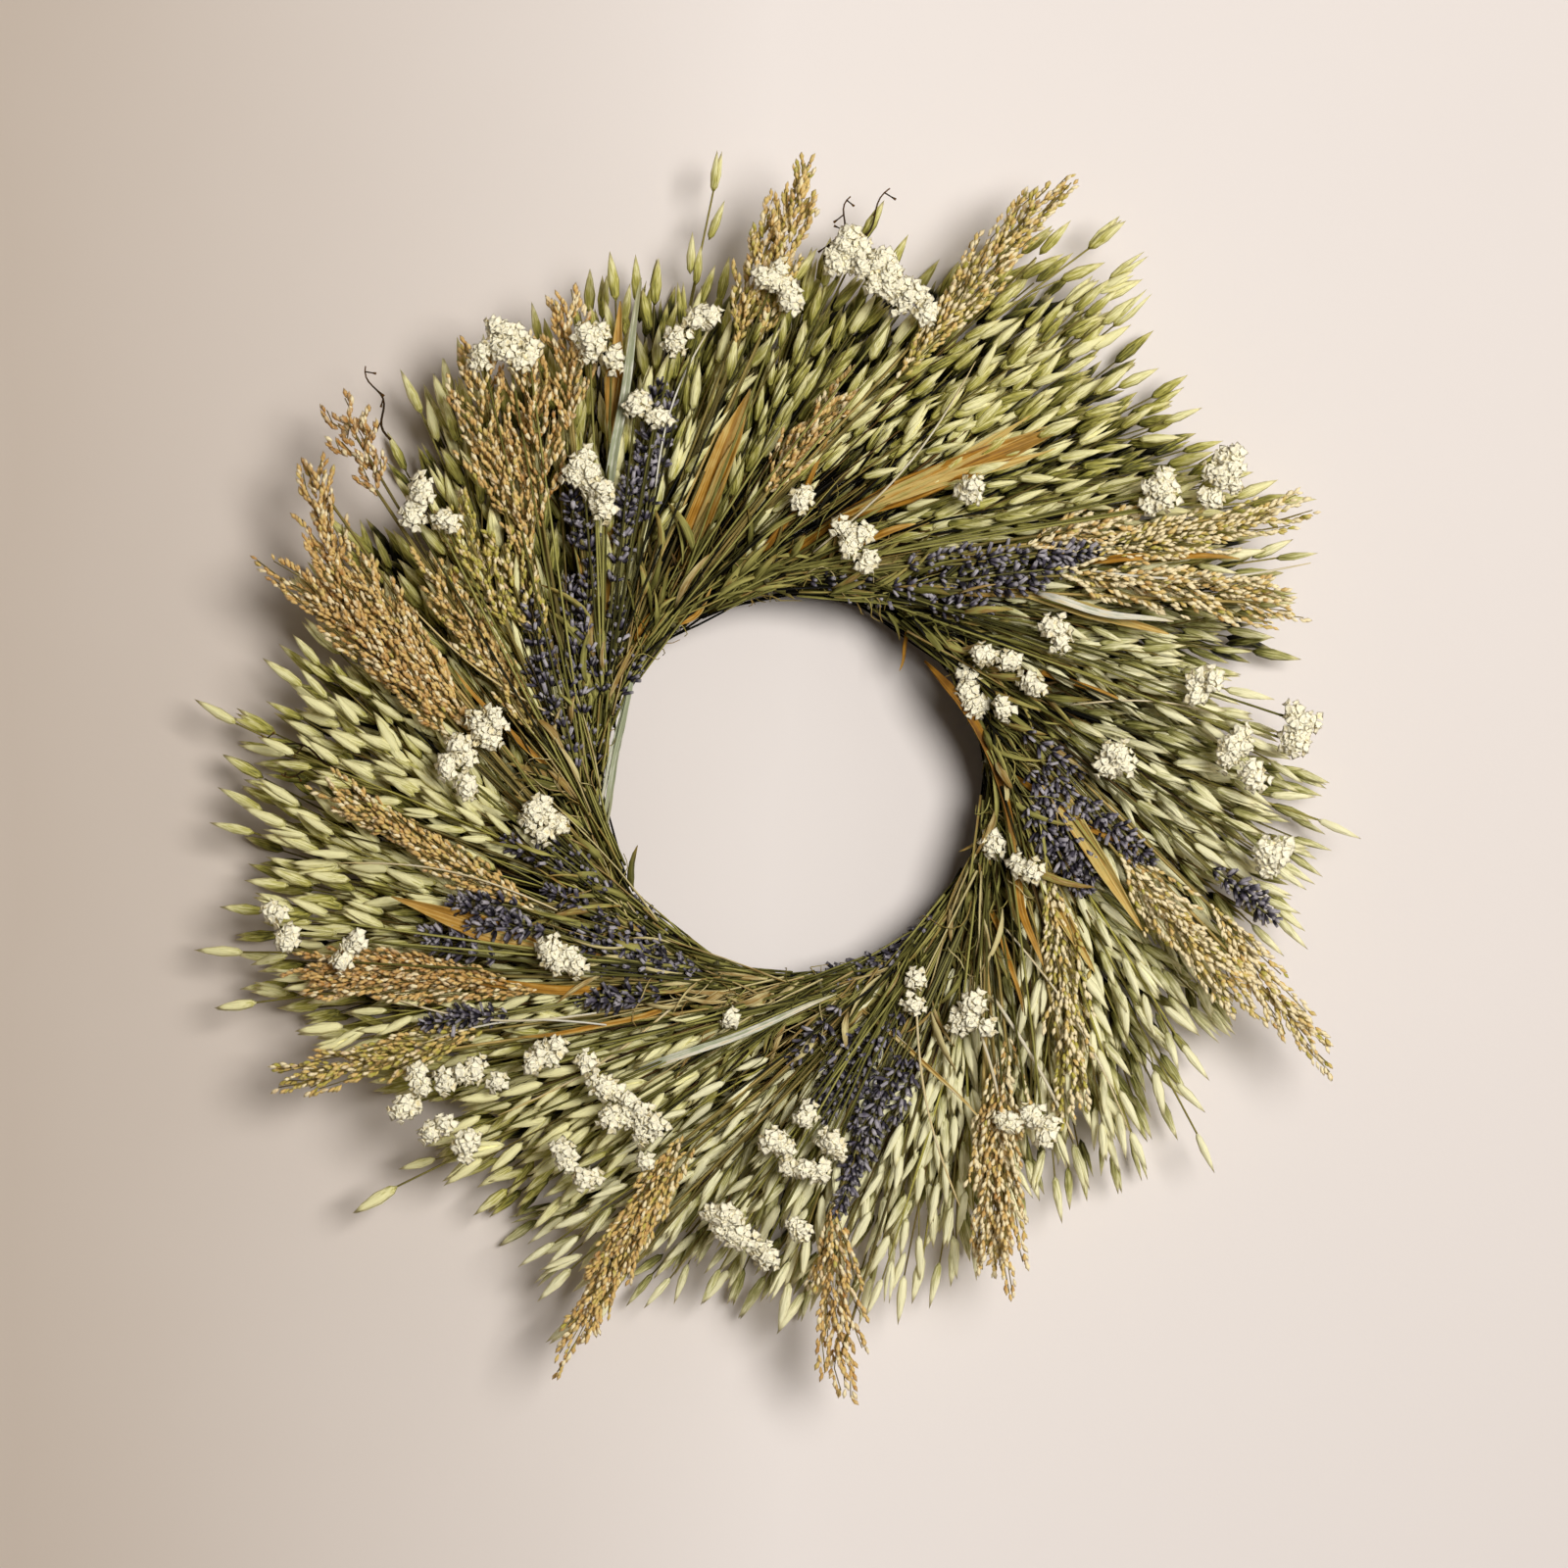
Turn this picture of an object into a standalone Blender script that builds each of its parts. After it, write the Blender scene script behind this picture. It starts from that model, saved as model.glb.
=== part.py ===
"""A dried oat wreath lying on its back: a wire clamp ring that grips twelve bundles of dried stems.

Every stem leaves the ring along a line that is tangent to the open hole, clockwise as seen from above,
so the bundles fan out side by side in a swirl and never cross. Oats fill the depth of each bundle. Corn
blades, millet heads, lavender and white statice lie over them, each kind in its own layer of height.
"""

import math
import random

import bmesh
import bpy
from mathutils import Matrix, Vector

MM = 0.001
UP = Vector((0, 0, 1))
SMOOTH_UP_TO = math.radians(65)

# The wreath in plan, all measured from the middle of its hole.
HOLE_CENTRE = Vector((6 * MM, -12 * MM, 0))
SWIRL_RADIUS = 101 * MM
BUNDLES = 12
FIRST_BUNDLE = math.radians(82)
BUNDLE_STEP = math.tau / BUNDLES

# Reach of the foliage every 15 degrees, anticlockwise from +X.
RIM = [reach * MM for reach in (
    284, 292, 300, 302, 334, 304, 298, 290, 290, 288, 286, 288,
    303, 312, 300, 284, 304, 290, 286, 284, 272, 284, 276, 282,
)]

# Height of the oat bed's top, by distance along the stems from where they touch the hole.
BED_TOP = [(along * MM, top * MM) for along, top in ((0, 38.5), (31, 38.5), (80, 52.5), (130, 60), (340, 54))]
BED_BENDS = (80 * MM, 130 * MM)

# The clamp ring: two rails of round wire, and a bent wire clamp across them at each bundle.
RAIL_RADII = (106 * MM, 136 * MM)
RAIL_WIRE = 2 * MM
RAIL_STEPS = 24
RAIL_MIDDLE = RAIL_WIRE * math.cos(math.pi / 6)
CLAMP_WIRE = 1.3 * MM
CLAMP_ALONG = 26 * MM
CLAMP_INSIDE, CLAMP_OUTSIDE = -5.4 * MM, 8.6 * MM
CLAMP_TOP = 48.5 * MM

# The gathered butt of each oat bundle.
BUTT_FROM, BUTT_TO = 10 * MM, 46 * MM
BUTT_BOTTOM, BUTT_TOP = 4.1 * MM, 37.6 * MM
BUTT_SIDES = 12
BUTT_TAPER, BUTT_FLUTE = 0.92, 0.86
GRIP_INSIDE, GRIP_OUTSIDE = -3.7 * MM, 6.9 * MM
GRIP_MIDDLE = (GRIP_INSIDE + GRIP_OUTSIDE) / 2

# The oats of a bundle: turn off its middle line in degrees, share of its reach, share of the bed's depth, pairs.
OATS = (
    (-10.0, 0.97, 0.13, 1), (0.5, 1.00, 0.24, 1), (10.0, 0.98, 0.16, 1),
    (-5.5, 1.00, 0.45, 2), (4.5, 0.95, 0.58, 2),
    (-9.5, 0.74, 0.84, 2), (0.5, 0.88, 0.88, 2), (9.0, 0.64, 0.82, 2),
)
STEM_FROM = 32 * MM
STEM_BUTT, STEM_TIP = 2.4 * MM, 1.4 * MM
STEM_BEND = 72 * MM
SPIKELET_LENGTH, SPIKELET_WIDTH, SPIKELET_DEPTH = 25 * MM, 6.4 * MM, 5 * MM
SPIKELET_BELLY = 0.4
SPIKELET_SPACING = 26 * MM
SPIKELET_SPLAY = math.radians(24)
SPIKELET_TILT = 0.35
SOCKET, NECK = 3 * MM, 11 * MM
SPACING_DRAW, REACH_DRAW = 0.12, 0.05
HIGH_RISE, STRAY_RISE = 0.6, 0.68

# Single long oats that stand out of the rim: x, y of the tip from the middle of the hole, in mm.
STRAYS = ((-35, 334), (-314, 44), (-313, -86), (298, -28), (176, 293), (-231, -220), (-131, -293))

# Corn blades: x, y of the near end, x, y of the far end, width, in mm.
BLADES = (
    (-58, 110, -22, 200, 11), (22, 135, 140, 182, 13), (118, 97, 190, 76, 8), (114, 28, 176, -74, 10),
    (-92, 165, -88, 245, 9), (-125, -84, -204, -57, 12), (122, -42, 152, -95, 8),
)

# Millet heads: x, y of the middle, length, width, turn out of the swirl in degrees. All in mm.
MILLET = (
    (-5, 275, 90, 17, 8), (98, 262, 130, 17, 3), (10, 178, 70, 14, 0), (208, 131, 112, 15, 4),
    (200, 97, 122, 20, -7), (201, -79, 102, 20, 0), (243, -104, 95, 13, -8), (135, -112, 120, 17, -10),
    (108, -196, 120, 22, -2), (22, -262, 92, 18, 22), (-90, -240, 125, 16, 16), (-215, -138, 105, 14, 4),
    (-195, -104, 120, 18, -1), (-190, -28, 125, 14, -8), (-215, 85, 130, 18, -6), (-190, 62, 100, 15, -4),
    (-155, 88, 80, 14, 0), (-218, 172, 45, 14, -8), (-142, 178, 90, 20, -4), (-116, 218, 70, 15, 0),
)

# Lavender heads: x, y of the middle, length, in mm.
LAVENDER = (
    (-104, 85, 38), (-112, 60, 40), (-128, 62, 38), (-126, 104, 36), (-103, 132, 38), (-88, 112, 36), (-66, 176, 36),
    (40, 116, 38), (80, 124, 40), (98, 109, 38), (130, 117, 32), (78, 94, 34),
    (130, 16, 40), (150, 2, 36), (134, -30, 40), (150, -26, 32), (232, -60, 34),
    (76, -104, 38), (36, -120, 36), (46, -146, 38), (18, -156, 38), (26, -190, 36),
    (-82, -92, 38), (-90, -110, 38), (-152, -66, 38), (-168, -84, 34), (-160, -118, 36), (-112, -46, 36),
)

# Statice heads: x, y of the middle, radius, in mm.
STATICE = (
    (36, 260, 19), (-6, 254, 13), (-52, 230, 12), (-145, 224, 18), (-101, 222, 12),
    (-102, 154, 14), (-183, 142, 14), (-160, 24, 16),
    (-128, -18, 13), (31, 122, 12), (117, 44, 17), (185, 148, 12), (218, 155, 14),
    (206, 52, 12), (255, 30, 14), (223, 10, 14), (162, 12, 12), (243, -38, 11),
    (120, -42, 11), (90, -116, 12), (-118, -88, 14), (-258, -68, 11),
    (-128, -138, 12), (-188, -156, 14), (-163, -174, 12), (-90, -162, 14), (-112, -193, 12), (5, -182, 18),
    (-32, -222, 15), (112, -170, 13),
)

# Layer height of each kind over the oat bed: inside the clamp, and once clear of it.
LIFTS = {
    "corn_blades": (0 * MM, 1.2 * MM),
    "millet": (1.9 * MM, 3.2 * MM),
    "lavender": (4.4 * MM, 11.2 * MM),
    "statice": (7.4 * MM, 19.2 * MM),
}
LIFT_FROM, LIFT_FULL = 31 * MM, 46 * MM
MILLET_CLEARANCE = 2.7 * MM

# A sprig is a bunch of thin stems that share one flat grip in the clamp.
GRIP_FROM = 17 * MM
GRIP_TO = {"millet": 31 * MM, "lavender": 29.8 * MM, "statice": 28.6 * MM}
GRIP_THICKNESS = 2.2 * MM
GRIP_OVERLAP = 1.5 * MM
SPRIG_WIRE = 1.2 * MM
SPRIG_FAN = 3 * MM
BEND_MARGIN = 14 * MM

# Heads: their flatness, their bumps, and their outlines as (share of the length, share of the width).
FLATNESS = 0.62
MILLET_SEAT, STATICE_SEAT, STATICE_PITCH = 1.12, 0.85, 0.3
MILLET_PROFILE = ((0.08, 0.68), (0.28, 0.96), (0.5, 1.0), (0.7, 0.9), (0.88, 0.55))
MILLET_BUMP, LAVENDER_BUMP, STATICE_BUMP = 0.12, 0.16, 0.14
LAVENDER_WIDTH, LAVENDER_DEPTH = 4.6 * MM, 4.2 * MM
LAVENDER_PROFILE = ((0.1, 0.95), (0.48, 1.0), (0.84, 0.75))
STATICE_PROFILE = ((0.16, 0.75), (0.5, 1.0), (0.84, 0.72))

# A corn blade's thickness, its steps, its wave, and the width and lane of its root in the clamp.
BLADE_THICKNESS = 0.8 * MM
BLADE_STEPS = 5
BLADE_WAVE, BLADE_TURN = 0.5 * MM, 2.1
BLADE_TAPER = (0.14, 0.96)
BLADE_ROOT, BLADE_NECK, BLADE_TIP = 4.6 * MM, 3.6 * MM, 1.6 * MM
BLADE_LANE = 2.7 * MM

# Colour, roughness and metallic value of each kind.
FINISHES = {
    "clamp_ring": ((0.20, 0.22, 0.20), 0.45, 0.85),
    "oats": ((0.46, 0.48, 0.27), 0.75, 0.0),
    "corn_blades": ((0.55, 0.36, 0.12), 0.65, 0.0),
    "millet": ((0.56, 0.36, 0.14), 0.75, 0.0),
    "lavender": ((0.17, 0.16, 0.30), 0.85, 0.0),
    "statice": ((0.86, 0.80, 0.64), 0.85, 0.0),
}


def interpolate(table, value):
    """The straight-line value of a list of (position, value) pairs."""
    if value <= table[0][0]:
        return table[0][1]
    for (low, before), (high, after) in zip(table, table[1:]):
        if value <= high:
            return before + (after - before) * (value - low) / (high - low)
    return table[-1][1]


def rim_reach(angle):
    """How far the foliage reaches at this angle from the middle of the hole."""
    place = (angle % math.tau) / math.tau * len(RIM)
    index = int(place) % len(RIM)
    share = place - int(place)
    return RIM[index] * (1 - share) + RIM[(index + 1) % len(RIM)] * share


def outward(angle):
    return Vector((math.cos(angle), math.sin(angle), 0))


def clockwise(angle):
    return Vector((math.sin(angle), -math.cos(angle), 0))


def on_swirl(root, along, aside=0.0):
    """The point this far along the tangent that leaves the hole at the root angle."""
    return outward(root) * (SWIRL_RADIUS + aside) + clockwise(root) * along


def along_of(point):
    return math.sqrt(max(point.x**2 + point.y**2 - SWIRL_RADIUS**2, 0.0))


def root_of(point):
    """The root angle of the tangent through this point."""
    return math.atan2(point.y, point.x) + math.atan2(along_of(point), SWIRL_RADIUS)


def bundle_root(index):
    return FIRST_BUNDLE - index * BUNDLE_STEP


def turn_from(root, point):
    """How far the tangent through this point is turned from the root angle, anticlockwise."""
    return (root_of(point) - root + math.pi) % math.tau - math.pi


def bundle_of(point):
    """Index of the bundle whose sector holds this point."""
    return round((FIRST_BUNDLE - root_of(point)) / BUNDLE_STEP) % BUNDLES


def plan(x, y):
    return Vector((x * MM, y * MM, 0))


def lifted(point, lift, more=0.0, along=None):
    """The point raised over the oat bed by its kind's lift."""
    along = along_of(point) if along is None else along
    share = min(max((along - LIFT_FROM) / (LIFT_FULL - LIFT_FROM), 0.0), 1.0)
    height = interpolate(BED_TOP, along) + lift[0] + (lift[1] - lift[0]) * share + more
    return Vector((point.x, point.y, height))


def bent_route(start, end, begins_at, lift, margin):
    """The points between start and end at which the layer of this lift bends over the oat bed."""
    ends_at = along_of(end)
    points = []
    for bend in (LIFT_FULL, *BED_BENDS):
        if bend < ends_at - margin:
            share = (bend - begins_at) / (ends_at - begins_at)
            between = start.lerp(Vector((end.x, end.y, 0)), share)
            points.append(lifted(between, lift, 0.0, bend))
    return points


def by_bundle(items):
    """The items, whose first two values are x and y in mm, sorted into their bundles."""
    found = {}
    for item in items:
        point = plan(item[0], item[1])
        found.setdefault(bundle_of(point), []).append((point, *item[2:]))
    return sorted(found.items())


def link(obj, collection):
    collection.objects.link(obj)
    obj.location += HOLE_CENTRE
    return obj


def object_of(shape, name, collection):
    """A finished object from the bmesh, with its faces turned outward and split in triangles."""
    shape.normal_update()
    bmesh.ops.recalc_face_normals(shape, faces=shape.faces)
    bmesh.ops.triangulate(shape, faces=shape.faces)
    mesh = bpy.data.meshes.new(name)
    shape.to_mesh(mesh)
    shape.free()
    return link(bpy.data.objects.new(name, mesh), collection)


def section(shape, centre, run, wide, deep, sides, bump=0.0, odd=0):
    """A ring of corners across the run, one in two pushed out and the others in by the bump."""
    across = run.cross(UP).normalized()
    rise = across.cross(run)
    first = math.pi / 2 if sides == 3 else math.pi / 3
    corners = []
    for number in range(sides):
        angle = first + number * math.tau / sides
        swell = 1 + (bump if (number + odd) % 2 else -bump)
        offset = across * math.cos(angle) * wide * swell + rise * math.sin(angle) * deep * swell
        corners.append(shape.verts.new(centre + offset))
    return corners


def skin(shape, near, far, skipped=()):
    """Faces between two rings: the same number of corners, or three that widen to six."""
    if len(near) == len(far):
        for number in range(len(near)):
            if number not in skipped:
                after = (number + 1) % len(near)
                shape.faces.new((near[number], near[after], far[after], far[number]))
        return
    for number in range(3):
        after = (number + 1) % 3
        shape.faces.new((near[number], far[2 * number], far[2 * number + 1]))
        shape.faces.new((near[number], near[after], far[2 * after], far[2 * number + 1]))


def close(shape, ring, apex):
    for number in range(len(ring)):
        shape.faces.new((ring[number], ring[(number + 1) % len(ring)], apex))


def runs_of(points):
    """The direction at each point of a path."""
    last = len(points) - 1
    return [(points[min(index + 1, last)] - points[max(index - 1, 0)]).normalized() for index in range(last + 1)]


def tube(name, points, radius, collection, resolution=0, cyclic=False):
    """A wire along the points, made from a poly curve with a bevel."""
    curve = bpy.data.curves.new(name, "CURVE")
    curve.dimensions = "3D"
    curve.bevel_depth = radius
    curve.bevel_resolution = resolution
    curve.use_fill_caps = not cyclic
    spline = curve.splines.new("POLY")
    spline.points.add(len(points) - 1)
    spline.use_cyclic_u = cyclic
    for knot, point in zip(spline.points, points):
        knot.co = (*point, 1)
    guide = bpy.data.objects.new(name + "_guide", curve)
    bpy.context.scene.collection.objects.link(guide)
    bpy.context.view_layer.update()
    mesh = bpy.data.meshes.new_from_object(guide.evaluated_get(bpy.context.evaluated_depsgraph_get()))
    mesh.name = name
    welder = bmesh.new()
    welder.from_mesh(mesh)
    bmesh.ops.remove_doubles(welder, verts=welder.verts, dist=0.00001)
    bmesh.ops.recalc_face_normals(welder, faces=welder.faces)
    welder.to_mesh(mesh)
    welder.free()
    made = bpy.data.objects.new(name, mesh)
    made.matrix_world = guide.matrix_world
    bpy.data.objects.remove(guide)
    return link(made, collection)


def finish_of(kind):
    material = bpy.data.materials.get(kind) or bpy.data.materials.new(kind)
    material.use_nodes = True
    colour, roughness, metallic = FINISHES[kind]
    shader = material.node_tree.nodes["Principled BSDF"]
    shader.inputs["Base Color"].default_value = (*colour, 1)
    shader.inputs["Roughness"].default_value = roughness
    shader.inputs["Metallic"].default_value = metallic
    return material


def joined(name, kind, repeats, wreath):
    """One node: the first of the repeats united with all the others, which are then removed."""
    base = repeats.objects[0]
    repeats.objects.unlink(base)
    wreath.objects.link(base)
    union = base.modifiers.new("join", "BOOLEAN")
    union.operation = "UNION"
    union.operand_type = "COLLECTION"
    union.collection = repeats
    bpy.context.view_layer.update()
    mesh = bpy.data.meshes.new_from_object(base.evaluated_get(bpy.context.evaluated_depsgraph_get()))
    base.modifiers.clear()
    base.data = mesh
    for obj in list(repeats.objects):
        bpy.data.objects.remove(obj)
    base.name = name
    mesh.name = name
    mesh.materials.clear()
    mesh.materials.append(finish_of(kind))
    mesh.polygons.foreach_set("material_index", [0] * len(mesh.polygons))
    mesh.shade_smooth()
    mesh.set_sharp_from_angle(angle=SMOOTH_UP_TO)
    return base


def add_clamp(root, number, repeats):
    """One wire clamp: from the outer rail over the bundle and back under it to the inner rail."""
    outer_end = math.sqrt(RAIL_RADII[1] ** 2 - CLAMP_ALONG**2) - SWIRL_RADIUS
    inner_end = math.sqrt(RAIL_RADII[0] ** 2 - CLAMP_ALONG**2) - SWIRL_RADIUS
    bends = (
        (outer_end, RAIL_MIDDLE), (CLAMP_OUTSIDE, RAIL_MIDDLE), (CLAMP_OUTSIDE, CLAMP_TOP),
        (CLAMP_INSIDE, CLAMP_TOP), (CLAMP_INSIDE, RAIL_MIDDLE), (inner_end, RAIL_MIDDLE),
    )
    points = [on_swirl(root, CLAMP_ALONG, aside) + UP * height for aside, height in bends]
    tube(f"clamp_{number}", points, CLAMP_WIRE, repeats)


def build_clamp_ring(wreath, repeats):
    """Two wire rails with a clamp across them at each bundle, all welded into one piece."""
    for number, radius in enumerate(RAIL_RADII):
        angles = [step * math.tau / RAIL_STEPS for step in range(RAIL_STEPS)]
        points = [outward(angle) * radius + UP * RAIL_MIDDLE for angle in angles]
        tube(f"rail_{number}", points, RAIL_WIRE, repeats, 1, True)
    for index in range(BUNDLES):
        add_clamp(bundle_root(index), index, repeats)
    return joined("clamp_ring", "clamp_ring", repeats, wreath)


def add_bud(shape, near, far, first, second, run, side, tilt):
    """A side spikelet grown out of the stem's face between two rings."""
    across = run.cross(UP).normalized() * side
    rise = across.cross(run) * side
    out = (across * math.cos(tilt) + rise * math.sin(tilt)).normalized()
    direction = (run * math.cos(SPIKELET_SPLAY) + out * math.sin(SPIKELET_SPLAY)).normalized()
    wide = (out - direction * out.dot(direction)).normalized() * SPIKELET_WIDTH / 2
    deep = direction.cross(wide).normalized() * SPIKELET_DEPTH / 2
    if deep.z < 0:
        deep = -deep
    socket = [near[first], far[first], far[second], near[second]]
    middle = sum((corner.co for corner in socket), Vector()) / 4
    belly = [shape.verts.new(middle + direction * SPIKELET_LENGTH * SPIKELET_BELLY + offset)
             for offset in (wide + deep, deep - wide, -wide - deep, wide - deep)]
    apex = shape.verts.new(middle + direction * SPIKELET_LENGTH)
    for number in range(4):
        after = (number + 1) % 4
        shape.faces.new((socket[number], socket[after], belly[after], belly[number]))
    close(shape, belly, apex)


def add_oat(name, root, tip, rise, pairs, draw, repeats):
    """One oat: a three-sided stem with pairs of spikelets along it and one at its end."""
    start = on_swirl(root, STEM_FROM, GRIP_MIDDLE)
    heading = (tip - start).normalized()
    length = (tip - start).length
    head = length - SPIKELET_LENGTH - NECK
    sockets = sorted(head - (pair + draw.uniform(-SPACING_DRAW, SPACING_DRAW)) * SPIKELET_SPACING
                     for pair in range(pairs))
    marks = [(STEM_BEND, False)] if rise > HIGH_RISE and STEM_BEND < sockets[0] - NECK else []
    for socket in sockets:
        marks += [(socket - SOCKET, True), (socket, False)]
    marks = [(0.0, False), *marks, (head + NECK, False)]
    points = [start + UP * (BUTT_BOTTOM + (BUTT_TOP - BUTT_BOTTOM) * rise)]
    for distance, _ in marks[1:]:
        point = start + heading * distance
        points.append(point + UP * interpolate(BED_TOP, along_of(point)) * rise)
    runs = runs_of(points)
    shape = bmesh.new()
    rings = []
    for point, run, (distance, _) in zip(points, runs, marks):
        thick = STEM_BUTT + (STEM_TIP - STEM_BUTT) * distance / length
        rings.append(section(shape, point, run, thick, thick, 3))
    shape.faces.new(rings[0])
    for index in range(len(rings) - 1):
        is_socket = marks[index][1]
        skin(shape, rings[index], rings[index + 1], (0, 2) if is_socket else ())
        if is_socket:
            tilt = draw.uniform(0.0, SPIKELET_TILT)
            add_bud(shape, rings[index], rings[index + 1], 0, 1, runs[index + 1], -1, tilt)
            add_bud(shape, rings[index], rings[index + 1], 0, 2, runs[index + 1], 1, tilt)
    run = (points[-1] - points[-2]).normalized()
    belly_at = points[-1] + run * SPIKELET_LENGTH * SPIKELET_BELLY
    belly = section(shape, belly_at, run, SPIKELET_WIDTH * FLATNESS, SPIKELET_DEPTH * FLATNESS, 3)
    skin(shape, rings[-1], belly)
    close(shape, belly, shape.verts.new(points[-1] + run * SPIKELET_LENGTH))
    return object_of(shape, name, repeats)


def add_butt(root, repeats):
    """The fluted butt in which the stalks of a bundle are bound together."""
    shape = bmesh.new()
    bmesh.ops.create_cone(
        shape, cap_ends=True, segments=BUTT_SIDES, radius1=BUTT_TAPER, radius2=1.0, depth=1.0)
    for corner in shape.verts:
        if round(math.degrees(math.atan2(corner.co.y, corner.co.x))) % 60:
            corner.co.x *= BUTT_FLUTE
            corner.co.y *= BUTT_FLUTE
    along = clockwise(root)
    frame = Matrix((UP.cross(along), UP, -along)).transposed().to_4x4()
    middle = on_swirl(root, (BUTT_FROM + BUTT_TO) / 2, GRIP_MIDDLE) + UP * (BUTT_BOTTOM + BUTT_TOP) / 2
    height = (BUTT_TOP - BUTT_BOTTOM) / 2 / math.cos(math.pi / 6)
    half = ((GRIP_OUTSIDE - GRIP_INSIDE) / 2, height, BUTT_FROM - BUTT_TO, 1)
    shape.transform(Matrix.Translation(middle) @ frame @ Matrix.Diagonal(half))
    object_of(shape, "butt", repeats)


def oat_tip(root, share):
    """The tip of an oat on this tangent that reaches this share of the way to the wreath's rim."""
    reach = RIM[0]
    for _ in range(4):
        tip = on_swirl(root, math.sqrt(reach**2 - SWIRL_RADIUS**2))
        reach = rim_reach(math.atan2(tip.y, tip.x))
    return on_swirl(root, math.sqrt((reach * share) ** 2 - SWIRL_RADIUS**2))


def build_oats(index, wreath, repeats):
    """All the oats of one bundle, gathered in its bound butt."""
    draw = random.Random(100 + index)
    root = bundle_root(index)
    add_butt(root, repeats)
    for number, (turn, share, rise, pairs) in enumerate(OATS):
        tip = oat_tip(root + math.radians(turn), share * draw.uniform(1 - REACH_DRAW, 1.0))
        add_oat(f"oat_{number}", root, tip, rise, pairs, draw, repeats)
    for number, (x, y) in enumerate(STRAYS):
        if bundle_of(plan(x, y)) == index:
            add_oat(f"stray_{number}", root, plan(x, y), STRAY_RISE, 1, draw, repeats)
    return joined(f"oats_{index + 1:02d}", "oats", repeats, wreath)


def add_grip(root, kind, repeats):
    """The flat grip in which the stems of a sprig end, under the clamp's top."""
    shape = bmesh.new()
    bmesh.ops.create_cube(shape, size=1.0)
    along = clockwise(root)
    frame = Matrix((along, UP.cross(along), UP)).transposed().to_4x4()
    height = BED_TOP[0][1] + LIFTS[kind][0]
    middle = on_swirl(root, (GRIP_FROM + GRIP_TO[kind]) / 2, GRIP_MIDDLE) + UP * height
    size = (GRIP_TO[kind] - GRIP_FROM, GRIP_OUTSIDE - GRIP_INSIDE, GRIP_THICKNESS, 1)
    shape.transform(Matrix.Translation(middle) @ frame @ Matrix.Diagonal(size))
    object_of(shape, "grip", repeats)


def add_sprig(name, kind, root, base, head, bump, repeats):
    """A thin stem from the grip over the bed to the head's base, then the head's rings and its tip.

    The head is a list of (distance from its base, half width, half depth) along its run, tip last.
    """
    far, rings_of_head = head
    lift = LIFTS[kind]
    fan = max(-1.0, min(1.0, turn_from(root, base) / (BUNDLE_STEP / 2)))
    starts_at = GRIP_TO[kind] - GRIP_OVERLAP
    start = on_swirl(root, starts_at, GRIP_MIDDLE + fan * SPRIG_FAN)
    points = [lifted(start, lift, 0.0, starts_at)]
    points += bent_route(start, base, starts_at, lift, BEND_MARGIN)
    points.append(base)
    runs = runs_of(points)
    shape = bmesh.new()
    rings = [section(shape, point, run, SPRIG_WIRE, SPRIG_WIRE, 3) for point, run in zip(points, runs)]
    shape.faces.new(rings[0])
    run = (far - base).normalized()
    for number, (distance, wide, deep) in enumerate(rings_of_head[:-1]):
        rings.append(section(shape, base + run * distance, run, wide, deep, 6, bump, number))
    for near, after in zip(rings, rings[1:]):
        skin(shape, near, after)
    close(shape, rings[-1], shape.verts.new(base + run * rings_of_head[-1][0]))
    return object_of(shape, name, repeats)


def spindle(length, wide, deep, profile):
    """Rings of a head from its outline, then its tip."""
    return [(length * at, wide * size, deep * size) for at, size in profile] + [(length, 0, 0)]


def build_millet(wreath, repeats):
    """Millet heads, one node for each bundle that has some."""
    lift = LIFTS["millet"]
    for bundle, heads in by_bundle(MILLET):
        root = bundle_root(bundle)
        for number, (point, length, width, turn) in enumerate(heads):
            heading = clockwise(root_of(point))
            heading.rotate(Matrix.Rotation(math.radians(turn), 3, "Z"))
            half = width / 2 * MM
            more = MILLET_CLEARANCE - lift[1] + half * FLATNESS * MILLET_SEAT
            base = lifted(point - heading * length / 2 * MM, lift, more)
            tip = lifted(point + heading * length / 2 * MM, lift, more)
            rings = spindle(length * MM, half, half * FLATNESS, MILLET_PROFILE)
            add_sprig(f"millet_{number}", "millet", root, base, (tip, rings), MILLET_BUMP, repeats)
        add_grip(root, "millet", repeats)
        joined(f"millet_{bundle + 1:02d}", "millet", repeats, wreath)


def build_lavender(wreath, repeats):
    """Lavender heads on thin stems, one node for each bundle that has some."""
    lift = LIFTS["lavender"]
    for bundle, heads in by_bundle(LAVENDER):
        root = bundle_root(bundle)
        for number, (point, length) in enumerate(heads):
            heading = clockwise(root_of(point))
            base = lifted(point - heading * length / 2 * MM, lift)
            tip = lifted(point + heading * length / 2 * MM, lift)
            rings = spindle(length * MM, LAVENDER_WIDTH, LAVENDER_DEPTH, LAVENDER_PROFILE)
            add_sprig(f"lavender_{number}", "lavender", root, base, (tip, rings), LAVENDER_BUMP, repeats)
        add_grip(root, "lavender", repeats)
        joined(f"lavender_{bundle + 1:02d}", "lavender", repeats, wreath)


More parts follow.
